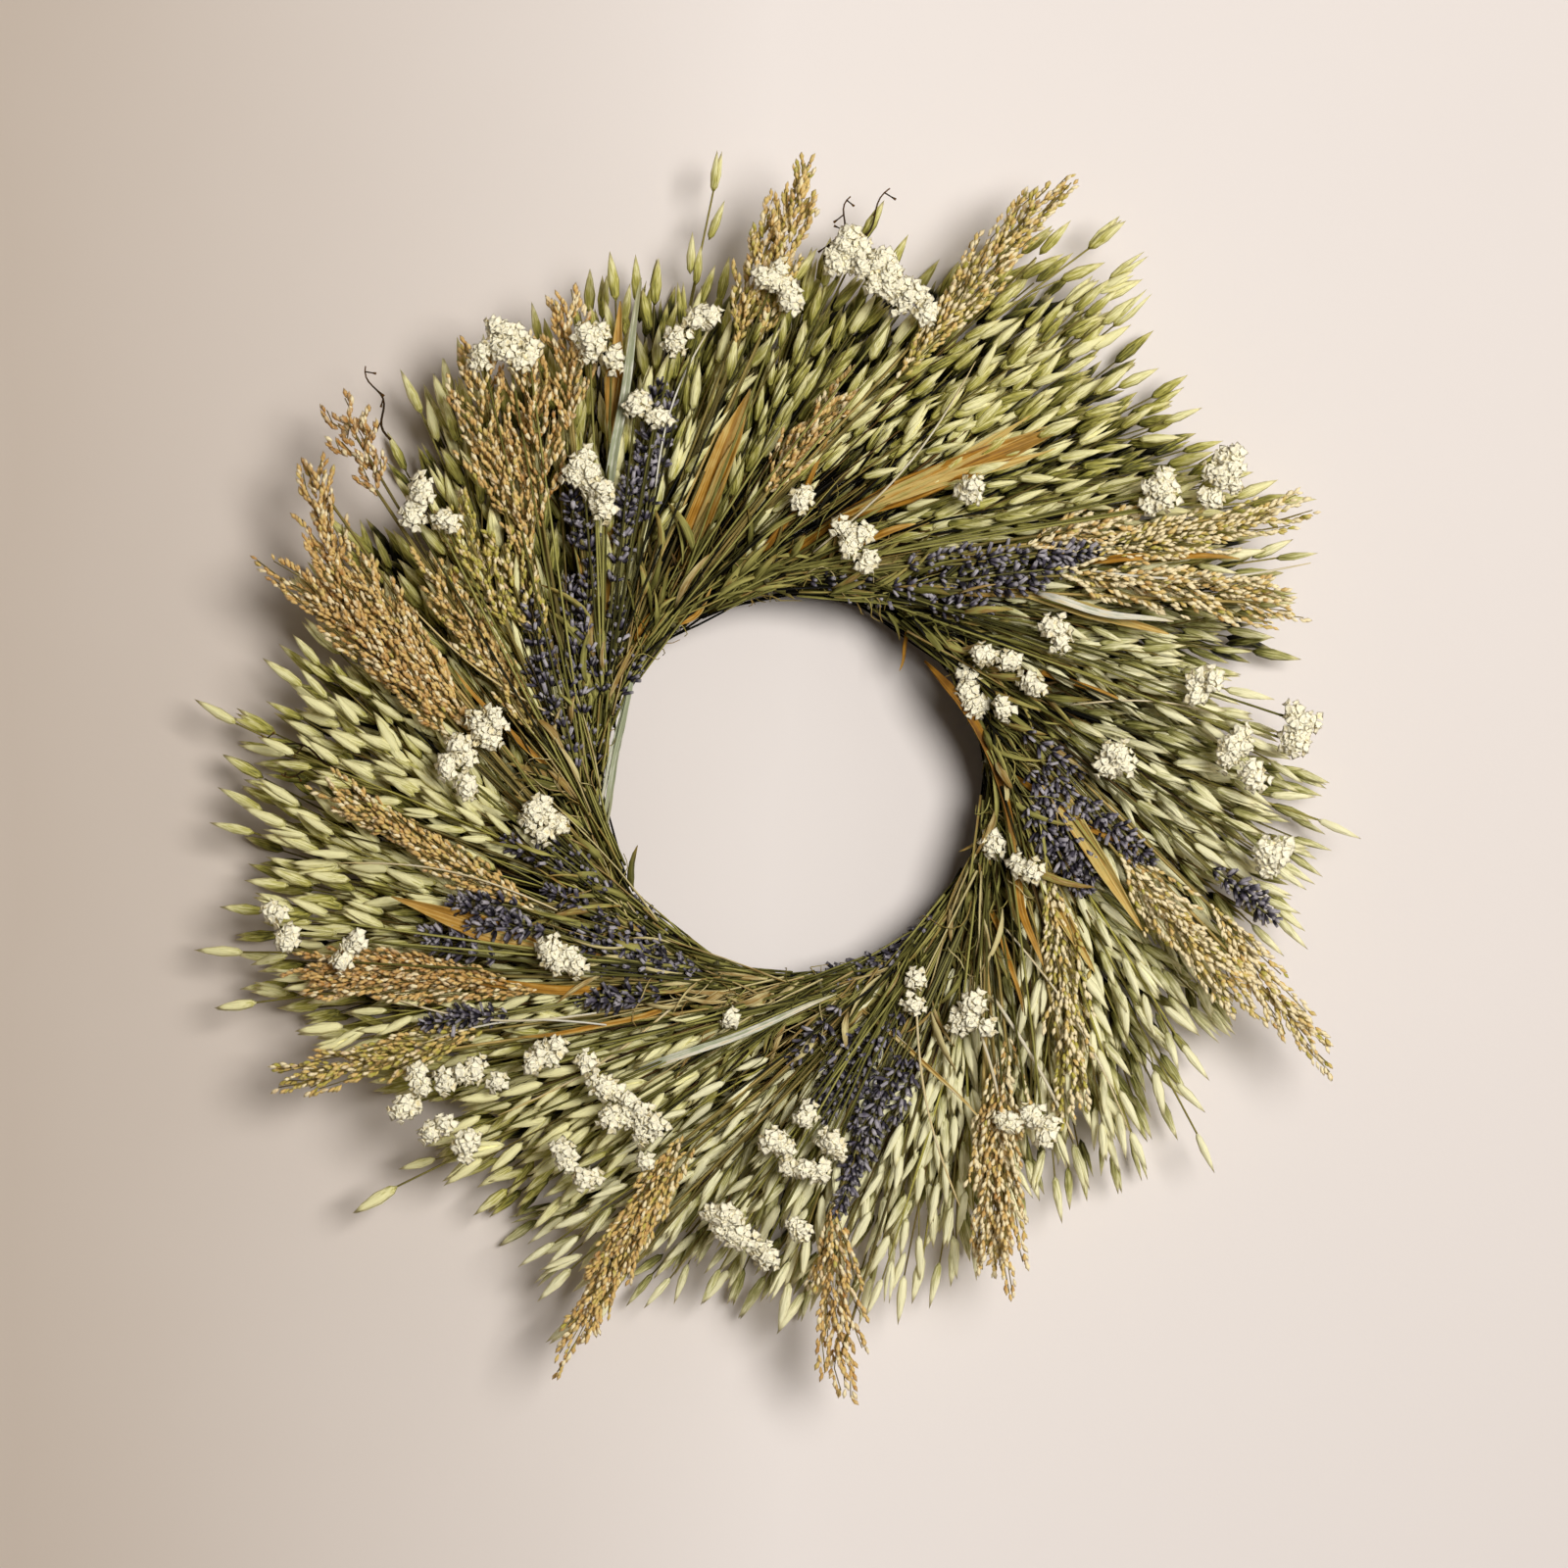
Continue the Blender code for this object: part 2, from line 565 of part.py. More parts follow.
def build_statice(wreath, repeats):
    """Statice heads on thin stems, one node for each bundle that has some."""
    lift = LIFTS["statice"]
    for bundle, heads in by_bundle(STATICE):
        root = bundle_root(bundle)
        for number, (point, size) in enumerate(heads):
            radius = size * MM
            heading = clockwise(root_of(point))
            more = radius * FLATNESS * STATICE_SEAT
            base = lifted(point - heading * radius, lift, more * (1 - STATICE_PITCH))
            tip = lifted(point + heading * radius, lift, more * (1 + STATICE_PITCH))
            rings = spindle((tip - base).length, radius, radius * FLATNESS, STATICE_PROFILE)
            add_sprig(f"statice_{number}", "statice", root, base, (tip, rings), STATICE_BUMP, repeats)
        add_grip(root, "statice", repeats)
        joined(f"statice_{bundle + 1:02d}", "statice", repeats, wreath)


def blade_route(root, near, far, width):
    """A blade's points and widths: out of the clamp to the near end, then to the far end."""
    lift = LIFTS["corn_blades"]
    lane = GRIP_MIDDLE + math.copysign(BLADE_LANE, turn_from(root, near))
    start = on_swirl(root, GRIP_FROM, lane)
    mouth = on_swirl(root, LIFT_FROM, lane)
    stem = [lifted(mouth, lift, 0.0, LIFT_FROM)] + bent_route(mouth, near, LIFT_FROM, lift, 2 * BLADE_ROOT)
    route = [(lifted(start, lift, 0.0, GRIP_FROM), BLADE_ROOT)] + [(point, BLADE_NECK) for point in stem]
    for step in range(BLADE_STEPS + 1):
        share = step / BLADE_STEPS
        point = lifted(near.lerp(far, share), lift, BLADE_WAVE * math.sin(step * BLADE_TURN))
        taper = math.sin(math.pi * (BLADE_TAPER[0] + (BLADE_TAPER[1] - BLADE_TAPER[0]) * share))
        route.append((point, max(BLADE_TIP, width * taper)))
    return route


def build_blades(wreath):
    """Dried corn blades: waved strips that taper to both ends, side by side in their clamp."""
    number = 0
    for bundle, blades in by_bundle(BLADES):
        for near, x, y, width in blades:
            number += 1
            route = blade_route(bundle_root(bundle), near, plan(x, y), width * MM)
            runs = runs_of([point for point, _ in route])
            shape = bmesh.new()
            rows = []
            for (point, wide), run in zip(route, runs):
                across = run.cross(UP).normalized() * wide / 2
                rows.append([shape.verts.new(point - across), shape.verts.new(point + across)])
            for before, after in zip(rows, rows[1:]):
                shape.faces.new((before[0], before[1], after[1], after[0]))
            blade = object_of(shape, f"corn_blade_{number:02d}", wreath)
            blade.data.materials.append(finish_of("corn_blades"))
            thickness = blade.modifiers.new("thickness", "SOLIDIFY")
            thickness.thickness = BLADE_THICKNESS
            thickness.offset = 0


def main():
    for obj in list(bpy.data.objects):
        bpy.data.objects.remove(obj)
    wreath = bpy.data.collections.new("oat_wreath")
    repeats = bpy.data.collections.new("repeats")
    for collection in (wreath, repeats):
        bpy.context.scene.collection.children.link(collection)
    build_clamp_ring(wreath, repeats)
    for index in range(BUNDLES):
        build_oats(index, wreath, repeats)
    build_blades(wreath)
    build_millet(wreath, repeats)
    build_lavender(wreath, repeats)
    build_statice(wreath, repeats)
    bpy.data.collections.remove(repeats)


main()
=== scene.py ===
"""Finished look of a dried oat wreath that lies on its back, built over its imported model.

Everything grows out of the twelve wire clamps along lines that are tangent to the open hole, as in the
model. Sheaves of oats make the bed. Millet, lavender, white statice and corn blades lie over it where the
model has them, with finer seeds, florets and veins, and loose greens fill the inner edge.
"""

import math

import bpy
import numpy as np
from bpy.props import FloatProperty, FloatVectorProperty, IntProperty, PointerProperty
from bpy.types import Operator, Panel, PropertyGroup
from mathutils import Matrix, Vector


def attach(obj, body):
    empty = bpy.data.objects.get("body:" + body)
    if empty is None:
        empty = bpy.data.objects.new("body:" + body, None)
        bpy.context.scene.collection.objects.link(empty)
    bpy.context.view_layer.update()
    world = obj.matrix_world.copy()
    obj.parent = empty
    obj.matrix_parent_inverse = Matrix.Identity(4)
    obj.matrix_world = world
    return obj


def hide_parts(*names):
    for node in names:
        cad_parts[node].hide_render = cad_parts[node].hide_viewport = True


bl_info = {
    "name": "Oat Wreath",
    "version": (1, 0, 0),
    "blender": (4, 5, 0),
    "location": "View3D > Sidebar > Oat Wreath",
    "description": "Dresses the packed oat wreath with finely modelled dried flowers and grasses",
    "category": "Object",
}

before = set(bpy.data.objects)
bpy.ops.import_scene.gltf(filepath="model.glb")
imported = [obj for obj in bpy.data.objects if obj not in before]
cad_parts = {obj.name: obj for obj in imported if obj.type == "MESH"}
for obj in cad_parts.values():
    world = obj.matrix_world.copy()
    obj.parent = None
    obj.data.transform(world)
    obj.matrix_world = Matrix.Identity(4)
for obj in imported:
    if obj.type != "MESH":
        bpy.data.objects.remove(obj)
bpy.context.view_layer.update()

# Lengths below are in millimetres, measured from the middle of the hole unless a line says otherwise.
MM = 0.001
UP = np.array((0.0, 0.0, 1.0))
HOLE_CENTRE = np.array((6.0, -12.0, 0.0))
SWIRL_RADIUS = 101.0
BUNDLES = 12
FIRST_BUNDLE = math.radians(82)
BUNDLE_STEP = math.tau / BUNDLES
HALF_SECTOR = 15
# Turn from one branchlet, floret or clump to the next, in radians.
GOLDEN_TURN = 2.4

# The first bundles are bleached and have slimmer husks. Everything is painted paler to the lower side and
# darker to the upper side: painted light and shade, partly also the husks' own paler colour.
BLEACHED_BUNDLES, BLEACHED_WIDTH = 5, 0.88
LIGHT_SIDE_REACH = 250.0

# First number of the random draws of each kind of piece.
SEEDS = {"oats": 200, "millet": 300, "lavender": 400, "statice": 500, "corn_blades": 600,
         "loose_greens": 700, "loose_straws": 800}

# Reach of the foliage round the rim: angle in degrees, anticlockwise from +X, and distance.
RIM = np.array((
    (-175, 301), (-165, 318), (-158, 312), (-148, 278), (-135, 272), (-124, 292), (-114, 308),
    (-100, 280), (-92, 287), (-77, 286), (-60, 268), (-50, 290), (-42, 281), (-33, 268), (-20, 278),
    (-10, 292), (0, 283), (11, 274), (22, 300), (28, 309), (34, 297), (45, 302), (51, 314), (56, 334),
    (63, 338), (68, 318), (73, 294), (80, 303), (88, 292), (100, 289), (110, 293), (120, 290),
    (130, 294), (140, 288), (155, 286), (165, 282), (175, 302),
))

# Height of the oat bed's top, by distance along the stems from where they touch the hole.
BED_ALONG = (0, 31, 80, 130, 340)
BED_TOP = (38.5, 38.5, 52.5, 60, 54)

# The grip of each clamp from side to side, and the butt of each sheaf.
GRIP_INSIDE, GRIP_OUTSIDE = -3.7, 6.9
GRIP_MIDDLE = (GRIP_INSIDE + GRIP_OUTSIDE) / 2
BUTT_BOTTOM, BUTT_TOP = 4.1, 37.6
MOUTH = 34.0
CLAMP_ALONG, CLAMP_TOP = 26.0, 48.5
OPEN_HOLE = 94.0

# Layer height of each kind over the oat bed: inside the clamp, and once clear of it.
LIFTS = {"corn_blades": (0, 1.2), "millet": (1.9, 3.2), "lavender": (4.4, 7.5), "statice": (7.4, 12.5)}
LIFT_FROM, LIFT_FULL = 31.0, 46.0
MILLET_CLEARANCE = 2.7
FLATNESS = 0.62
MILLET_SEAT, STATICE_SEAT = 1.12, 0.85

# Nothing of the oats lies lower than this, and husks that are near the floor don't point down.
LOWEST_STEM, LOWEST_HUSK, NEAR_FLOOR = 4.4, 4.2, 8

# Single long oats that stand out of the rim: x, y of the tip.
STRAYS = (
    (-35, 334), (-314, 44), (-313, -86), (298, -28), (176, 293), (-231, -220), (-131, -293), (48, 306),
    (-163, 240), (-203, 218), (-306, -16), (276, 148), (-306, -116), (221, -206), (62, -272),
)

# The three sorts of stalks in a sheaf, long, short and bare: fan in degrees, lowest rise, range of rises,
# share of the way to the rim at which they end, power of that draw, knee, knots, length, and end radii.
SHEAF = (
    (33, 0.07, 0.97, (1.0, 0.8), 1.5, 0.16, 10, 0.93, (1.35, 0.55)),
    (38, 0.12, 0.88, (0.7, 0.88), 1.0, 0.06, 7, 0.9, (1.2, 0.5)),
    (38, 0.05, 0.97, (0.46, 0.8), 1.0, 0.04, 6, 1.0, (1.1, 0.45)),
)
SHORT_SPIKELETS, STRAY_SPIKELETS = 7, 5
STRAY_SPACING, STRAY_RISE, STRAY_TONE = 15, 0.68, 0.72

# First guess of a tip's distance from the middle, and the least length of a stalk along its tangent.
MIDDLE_REACH, SHORTEST = 290.0, 60
# Shares of shut, half open and open spikelets, the length of a stalklet, and the gap that shows it.
SPIKELET_SHARES = (0.72, 0.18, 0.10)
STALKLET, SEEN_GAP = 11, 3.3
# Husks out at the rim are lifted out of the painted depth shade, as if they catch light: their darkest
# painted shade, and where that sets in, as a share of the reach.
RIM_SHADE, RIM_LIGHT_FROM, RIM_LIGHT_OVER = 0.36, 0.8, 0.1

# Husks, kernel, millet grain and lavender calyx, by stations along x: x, width, depth and rise.
HUSK_ARC = [(math.cos(angle), math.sin(angle)) for angle in np.radians((-8, 40, 90, 140, 188))]
HUSK = ((0, 0, 0, 0), (3.4, 2.3, 1.8, 0), (11, 3.1, 2.5, 0), (18.6, 1.8, 1.4, 0), (24.6, 0, 0, 0.2))
SHUT_HUSK = ((0, 0, 0, 0), (3.2, 2.2, 1.9, 0), (10.5, 3.1, 2.5, 0), (18.4, 1.7, 1.4, 0), (24.6, 0, 0, 0))
KERNEL = ((0.6, 0, 0, 0), (6, 2.1, 1.7, 0), (16, 1.7, 1.4, 0), (23.4, 0, 0, 0))
GRAIN = ((-0.1, 0, 0, 0), (0.7, 0.72, 0.66, 0), (2.1, 1.15, 1.0, 0), (3.7, 0, 0, 0))
CALYX = ((0, 0, 0, 0), (2.6, 1.15, 1.15, 0), (6.0, 0.9, 0.9, 0), (5.0, 0, 0, 0))
# Length and width of a shut husk as it is drawn above, and width of a seed.
HUSK_SIZE, SEED_WIDTH = (24, 6.1), 2.3

# Millet head: branchlets in a millimetre, grains on each, and how it swells along its length.
BRANCHLETS_PER_MM, GRAINS = 0.33, 13
HEAD_SWELL = ((0, 0.1, 0.35, 0.72, 0.92, 1.06), (0.5, 0.88, 1.0, 0.95, 0.66, 0.3))

# Lavender head: place and size of each whorl, and the calyces in one.
WHORLS = np.array((0.0, 0.24, 0.43, 0.6, 0.75, 0.9))[:, None]
WHORL_SIZE = np.array((0.85, 1.05, 1.1, 1.05, 0.95, 0.7))[:, None]
CALYCES = 7

# Statice: rings of a floret as x, reach, frill and lift, florets in a clump for each millimetre of its
# radius, and square millimetres of a mound for each clump.
FLORET = ((0.45, 0.42, 0.0, 0.0), (0.9, 1.0, 0.15, 0.2), (0.72, 0.5, -0.1, -0.06))
FLORETS_PER_MM, CLUMP_AREA = 2.15, 26

# Stems of the other kinds: radius, and range of their tones. Then the cut ends of each kind in a clamp.
SPRIG_STEMS = {"millet": (0.75, (0.2, 0.8)), "lavender": (0.6, (0.2, 0.8)), "statice": (0.6, (0.0, 1.0))}
STEM_ENDS = 7

# Plant skins: the part of the noise that counts, scale of the blotches, range of the roughness, and scale
# of the fibres of stems.
NOISE_RANGE = (0.33, 0.67)
BLOTCH_SCALE = (0.11, 0.3, 0.3)
ROUGH_RANGE = 0.24
STEM_FIBRES = (0.02, 1.2)

# Corn blades: x, y of the near end, x, y of the far end, width, hue, the torn strips beside it, and lift.
# Hue runs from 0, brown, over 0.5, gold, to 1, green.
BLADES = (
    (-58, 110, -22, 200, 14, 0.4, 1, 6), (22, 135, 140, 182, 14, 0.2, 3, 6),
    (118, 97, 190, 76, 8, 0.6, 1, 7), (114, 28, 176, -74, 10, 0.62, 1, 15),
    (-92, 165, -88, 245, 12, 0.4, 1, 6), (-125, -84, -204, -57, 13, 0.35, 1, 8),
    (122, -42, 152, -95, 8, 0.5, 1, 9),
)
# Where the blades start along the stems in their clamp, and the knots of a blade as shares of its length.
BLADE_START = 17.0
BLADE_SHARE = np.linspace(0, 1, 34)

# Loose flat leaves and straps on top: x, y of both ends, width, sideways bow, hue, and lift.
# Hue runs from 0, brown, over 0.3, gold, and 0.8, white, to 1, grey-green.
STRAPS = (
    (-94, 143, -77, 256, 5.0, 0, 1.0, 14), (-81, -146, 22, -107, 4.2, -1, 0.86, 15),
    (122, 97, 192, 82, 4, -3, 0.8, 13), (67, 63, 112, -52, 4.6, 14, 0.06, 13),
    (57, 84, 54, 58, 2.2, 2, 0.1, -4), (-80, 70, -60, 95, 5.5, 4, 0.18, 6),
    (-66, 80, -42, 100, 3, -5, 0.3, 5), (-104, 84, -99, 24, 3.4, 2, 0.05, 4),
    (-100, 60, -112, 122, 3, -3, 0.2, 3), (8, 112, 62, 132, 5, 2, 0.3, 6),
    (16, 106, 78, 116, 3.4, -2, 0.15, 4), (150, 112, 226, 114, 4, 3, 0.25, 8),
    (112, -34, 126, -92, 4.5, -3, 0.3, 10), (-98, -104, -178, -96, 5, 3, 0.25, 9),
    (-60, -112, -140, -128, 3, 3, 0.3, 7), (30, -112, 96, -172, 2.6, 3, 0.5, 8),
    (98, -60, 116, -116, 3, 2, 0.25, 7), (-20, 112, 18, 176, 3.4, -3, 0.1, 5),
    (106, 60, 170, 40, 3, 3, 0.12, 6), (110, 6, 178, -36, 3, -3, 0.2, 8),
    (-118, 4, -172, 58, 3, 3, 0.3, 6), (-84, 54, -97, -26, 2.2, 0.5, 1.0, 1),
    (-86, 50, -97, -18, 2.0, 0, 0.96, 2), (-82, 60, -100, -28, 2.4, 0, 1.0, 3),
    (-82, 58, -101, -16, 2.8, 0, 0.98, 2),
)

# Loose round straws on top: x, y of both ends, radius, and sideways bow.
STRAWS = (
    (-100, -116, -216, -104, 0.7, 9), (-95, -122, -190, -132, 0.6, -7), (95, -128, 106, -192, 0.9, 3),
    (-70, 150, -40, 235, 0.6, 6), (150, 108, 262, 112, 0.7, -6), (-60, -112, -150, -168, 0.7, 5),
    (62, -108, 84, -214, 0.7, -6), (140, 40, 238, 26, 0.6, 8), (-112, 30, -196, 92, 0.6, 6),
    (-120, -64, -232, -40, 0.6, -8), (10, 118, 92, 214, 0.6, -8), (108, -74, 170, -176, 0.6, 6),
    (101, -108, 142, -180, 1.0, 2),
)

# Dark dry twigs that reach out of the rim: x, y of the foot and of the tip.
TWIGS = (
    (-228, 8, -272, 26), (-232, 4, -262, 6), (22, 262, 50, 304), (16, 266, 30, 300),
    (-206, 176, -218, 214),
)
TWIG_TONE, TWIG_FORKS = 0.2, (4, 8, 11, 14)
# Material slots of the loose straws, and the knots of each as shares of its length.
STRAW, TWIG, STRAP = range(3)
LOOSE_SHARE = np.linspace(0, 1, 16)

# Millet heads: x, y of the middle, length, width, turn out of the swirl in degrees, and hue.
# Hue runs from 0, yellow-green, over 0.4, golden, to 1, rust.
MILLET = (
    (-5, 275, 90, 17, 8, 0.35), (-16, 262, 74, 14, 2, 0.3), (98, 262, 130, 17, 3, 0.25),
    (10, 178, 70, 14, 0, 0.6), (208, 131, 112, 15, 4, 0.12), (150, 128, 60, 12, 4, 0.55),
    (200, 97, 122, 20, -7, 0.42), (201, -79, 102, 20, 0, 0.25), (243, -104, 95, 13, -8, 0.35),
    (135, -112, 120, 17, -10, 0.08), (108, -196, 120, 20, -2, 0.55), (98, -208, 84, 14, 4, 0.45),
    (22, -262, 92, 18, 22, 0.55), (-90, -240, 125, 14, 16, 0.5), (-80, -226, 90, 14, 10, 0.4),
    (-215, -138, 105, 14, 4, 0.25), (-195, -104, 120, 15, -1, 0.65), (-208, -96, 100, 14, 0, 0.8),
    (-190, -28, 125, 14, -8, 0.5), (-222, 69, 122, 16, 0, 0.6), (-203, 88, 92, 16, -2, 0.5),
    (-212, 78, 104, 14, -4, 0.7), (-238, 134, 66, 14, -26, 0.65), (-190, 62, 90, 12, -4, 0.6),
    (-170, 88, 72, 13, 0, 0.4), (-150, 60, 72, 13, 0, 0.45), (-221, 171, 48, 20, -8, 1.0),
    (-155, 184, 84, 20, -4, 0.55), (-134, 182, 92, 18, -2, 0.68), (-145, 148, 70, 17, 4, 0.4),
    (-161, 116, 70, 18, 0, 0.08), (-141, 104, 60, 17, 4, 0.04), (-116, 218, 70, 16, 0, 0.6),
)

# Lavender heads: x, y of the middle.
LAVENDER = (
    (-85, 55), (-90, 80), (-105, 95), (-105, 75), (-132, 80), (-125, 60), (-110, 55), (-117, 24),
    (-103, 28), (-127, 46), (-112, 140), (-105, 126), (-87, 122), (-85, 142), (-65, 180), (-75, 165),
    (-82, 150), (75, 115), (100, 115), (140, 117), (65, 100), (85, 90), (110, 100), (45, 96), (25, 105),
    (122, 108), (132, 15), (140, -5), (150, -15), (162, -25), (125, -25), (137, -40), (145, -35),
    (170, -28), (132, -12), (232, -60), (226, -52), (60, -80), (45, -95), (30, -101), (45, -130),
    (25, -135), (35, -145), (20, -150), (40, -170), (30, -190), (48, -152), (27, -205), (10, -128),
    (-85, -75), (-75, -86), (-95, -80), (-65, -92), (-85, -93), (-85, -107), (-95, -110), (-160, -65),
    (-170, -84), (-140, -70), (-155, -60), (-160, -117), (-174, -120), (-107, -45), (-125, -28),
    (-112, -60), (92, 104), (-98, 62),
)

# Statice, one row for each mound of florets: x, y of the middle, radius.
STATICE = (
    (28, 268, 15), (43, 257, 14), (58, 246, 11), (68, 240, 7), (-10, 256, 11), (-2, 247, 8),
    (-47, 236, 9), (-61, 222, 8), (-146, 226, 13), (-134, 216, 9), (-158, 218, 8), (-103, 223, 11),
    (-92, 216, 7), (-80, 190, 8), (-70, 185, 7), (-106, 160, 11), (-100, 148, 9), (-96, 138, 7),
    (-187, 146, 9), (-177, 133, 8), (-193, 135, 6), (-155, 29, 12), (-166, 18, 9), (-174, 11, 9),
    (-165, 0, 7), (-132, -14, 9), (-122, -20, 9), (-128, -26, 6), (30, 124, 10), (36, 112, 7),
    (24, 130, 6), (5, 146, 7), (90, 55, 7), (98, 65, 8), (111, 62, 7), (119, 52, 8), (107, 37, 8),
    (95, 40, 7), (88, 47, 6), (129, 80, 8), (134, 72, 5), (185, 148, 11), (180, 140, 6), (217, 157, 12),
    (212, 144, 8), (223, 166, 7), (90, 150, 7), (205, 53, 9), (202, 44, 7), (256, 32, 11), (250, 22, 8),
    (221, 17, 10), (231, 3, 9), (226, 26, 6), (164, 15, 9), (158, 8, 7), (244, -34, 10), (239, -42, 7),
    (101, -29, 7), (120, -44, 8), (113, -41, 5), (91, -114, 9), (84, -121, 6), (97, -122, 6),
    (62, -99, 6), (61, -112, 5), (-118, -88, 10), (-126, -83, 7), (-110, -92, 6), (-221, -79, 8),
    (-228, -90, 6), (-260, -66, 8), (-255, -76, 7), (-128, -138, 10), (-105, -140, 6), (-120, -132, 6),
    (-190, -151, 9), (-162, -145, 9), (-176, -148, 7), (-195, -162, 7), (-181, -173, 9),
    (-166, -182, 9), (-150, -150, 6), (-95, -154, 9), (-90, -167, 9), (-74, -170, 11), (-84, -160, 6),
    (-115, -186, 9), (-106, -199, 8), (-75, -190, 6), (5, -169, 8), (-8, -180, 9), (20, -181, 9),
    (10, -196, 9), (-2, -194, 6), (-35, -220, 12), (-25, -229, 8), (-16, -236, 8), (4, -225, 8),
    (106, -169, 7), (126, -172, 10), (118, -167, 6), (-32, -119, 6),
)

# Lights: name, place, aim, width of the disk, watts and colour, in metres.
LIGHTS = (
    ("key", (1.15, 0.42, 3.0), (0, 0, 0.03), 1.4, 96, (1.0, 0.985, 0.965)),
    ("side", (1.6, 0.3, 1.0), (0.05, 0, 0.03), 1.3, 4, (1.0, 0.98, 0.95)),
)
WALLS, CEILING = (0.66, 0.58, 0.5), (0.06, 0.048, 0.038)
FLOOR_REACH, FLOOR_SIDES = 2.0, 128
CAMERA_HEIGHT = 2.4
VIEW_WIDTH = 0.8
VIEW_MIDDLE = (0.001, -0.012)
VIEW_LEVEL = 0.05
SENSOR = 36.0


def linear(code):
    """The linear colour of a six-digit screen colour."""
    screen = [int(code[start:start + 2], 16) / 255 for start in (0, 2, 4)]
    return tuple(
        value / 12.92 if value <= 0.04045 else ((value + 0.055) / 1.055) ** 2.4 for value in screen)


def colour_setting(name, code):
    return FloatVectorProperty(
        name=name, description=f"{name} colour", subtype="COLOR", size=3, min=0, max=1,
        default=linear(code))


def length_setting(name, millimetres):
    return FloatProperty(
        name=name, description=f"{name} in metres", unit="LENGTH", min=0, default=millimetres * MM)


def count_setting(name, number):
    return IntProperty(name=name, description=name, min=1, default=number)


class OatLook(PropertyGroup):
    """Oat stalks and their spikelets."""
    stalks: count_setting("Long stalks in a sheaf", 29)
    short_stalks: count_setting("Short stalks in a sheaf", 18)
    spikelets: count_setting("Spikelets on a long stalk", 15)
    bare_stems: count_setting("Bare stems in a sheaf", 72)
    spikelet_length: length_setting("Spikelet length", 25)
    spikelet_width: length_setting("Spikelet width", 6.4)
    panicle_length: length_setting("Panicle length", 120)
    # From dark to pale the husk colours carry painted shade and light: deep stalks are painted near-black,
    # high ones pale.
    dark: colour_setting("Husk in the depth", "110F07")
    shade: colour_setting("Shaded husk", "65632B")
    husk: colour_setting("Husk", "B5AE55")
    pale: colour_setting("Pale husk", "F1EBB2")
    tip: colour_setting("Husk tip", "EADCA0")
    bleached: colour_setting("Bleached husk", "AEAA68")
    cream: colour_setting("Pale bleached husk", "F3EEC2")
    brown: colour_setting("Brown stem", "67491E")
    stem: colour_setting("Stem", "8A8044")


class MilletLook(PropertyGroup):
    """Millet heads."""
    grain_length: length_setting("Grain length", 5.3)
    grain_width: length_setting("Grain width", 2.7)
    green: colour_setting("Unripe grain", "B4AA4A")
    gold: colour_setting("Golden grain", "E0BE76")
    rust: colour_setting("Rusty grain", "B27F40")
    cream: colour_setting("Grain highlight", "F4E4B8")
    stem: colour_setting("Millet stem", "8E7F45")


class LavenderLook(PropertyGroup):
    """Lavender heads."""
    head_length: length_setting("Head length", 37)
    calyx_length: length_setting("Calyx length", 7)
    calyx_width: length_setting("Calyx width", 2.4)
    dark: colour_setting("Calyx shade", "1F1C22")
    violet: colour_setting("Calyx", "5C5664")
    pale: colour_setting("Calyx tip", "BAB4B8")


class StaticeLook(PropertyGroup):
    """Statice heads."""
    floret: length_setting("Floret width", 4.9)
    white: colour_setting("Petal", "FFF8DC")
    cream: colour_setting("Petal base", "E6D7A6")
    # The calyx colour also serves as painted shade on the florets low in a clump and in their throats.
    shade: colour_setting("Calyx", "B79C62")


class BladeLook(PropertyGroup):
    """Dried corn blades and straws."""
    thickness: length_setting("Blade thickness", 0.6)
    brown: colour_setting("Brown streak", "6E4812")
    gold: colour_setting("Blade", "B07E28")
    straw: colour_setting("Pale streak", "D2B870")
    green: colour_setting("Greenish blade", "93924A")
    white: colour_setting("Straw", "DEDACA")
    grey: colour_setting("Grey-green strap", "9DA283")


class GreensLook(PropertyGroup):
    """Loose greens round the inner edge."""
    leaves: count_setting("Leaves at a bundle", 58)
    edge_stems: count_setting("Loose stems at a bundle", 64)
    wisps: count_setting("Curled wisps at a bundle", 18)
    cover_stems: count_setting("Stems over a clamp", 10)
    leaf_width: length_setting("Leaf width", 2.5)
    dark: colour_setting("Leaf shade", "131109")
    olive: colour_setting("Leaf", "6F6B31")
    pale: colour_setting("Pale leaf", "ADA75E")
    brown: colour_setting("Dry leaf", "8E6C34")
    straw: colour_setting("Bleached leaf", "CFC18A")


class WreathLook(PropertyGroup):
    """All the settings of the wreath."""
    oats: PointerProperty(type=OatLook)
    millet: PointerProperty(type=MilletLook)
    lavender: PointerProperty(type=LavenderLook)
    statice: PointerProperty(type=StaticeLook)
    blades: PointerProperty(type=BladeLook)
    greens: PointerProperty(type=GreensLook)
    wire: colour_setting("Wire", "6E6844")
    # The floor is painted darker to the left, a painted shadow beside the wreath, and darker to the right,
    # painted shade against the brighter light there.
    left_floor_painted_shadow: colour_setting("Floor to the left", "D2C4B6")
    floor: colour_setting("Floor under the wreath", "F3EBE6")
    right_floor_painted_shade: colour_setting("Floor to the right", "E4DCD7")


def unit(vectors):
    return vectors / np.maximum(np.linalg.norm(vectors, axis=-1, keepdims=True), 1e-9)


def mixed(start, end, share):
    return start + (end - start) * share


def outward(angle):
    angle = np.asarray(angle, float)
    return np.stack((np.cos(angle), np.sin(angle), np.zeros_like(angle)), -1)


def clockwise(angle):
    angle = np.asarray(angle, float)
    return np.stack((np.sin(angle), -np.cos(angle), np.zeros_like(angle)), -1)


def left_of(heading):
    return unit(np.cross(UP, heading))


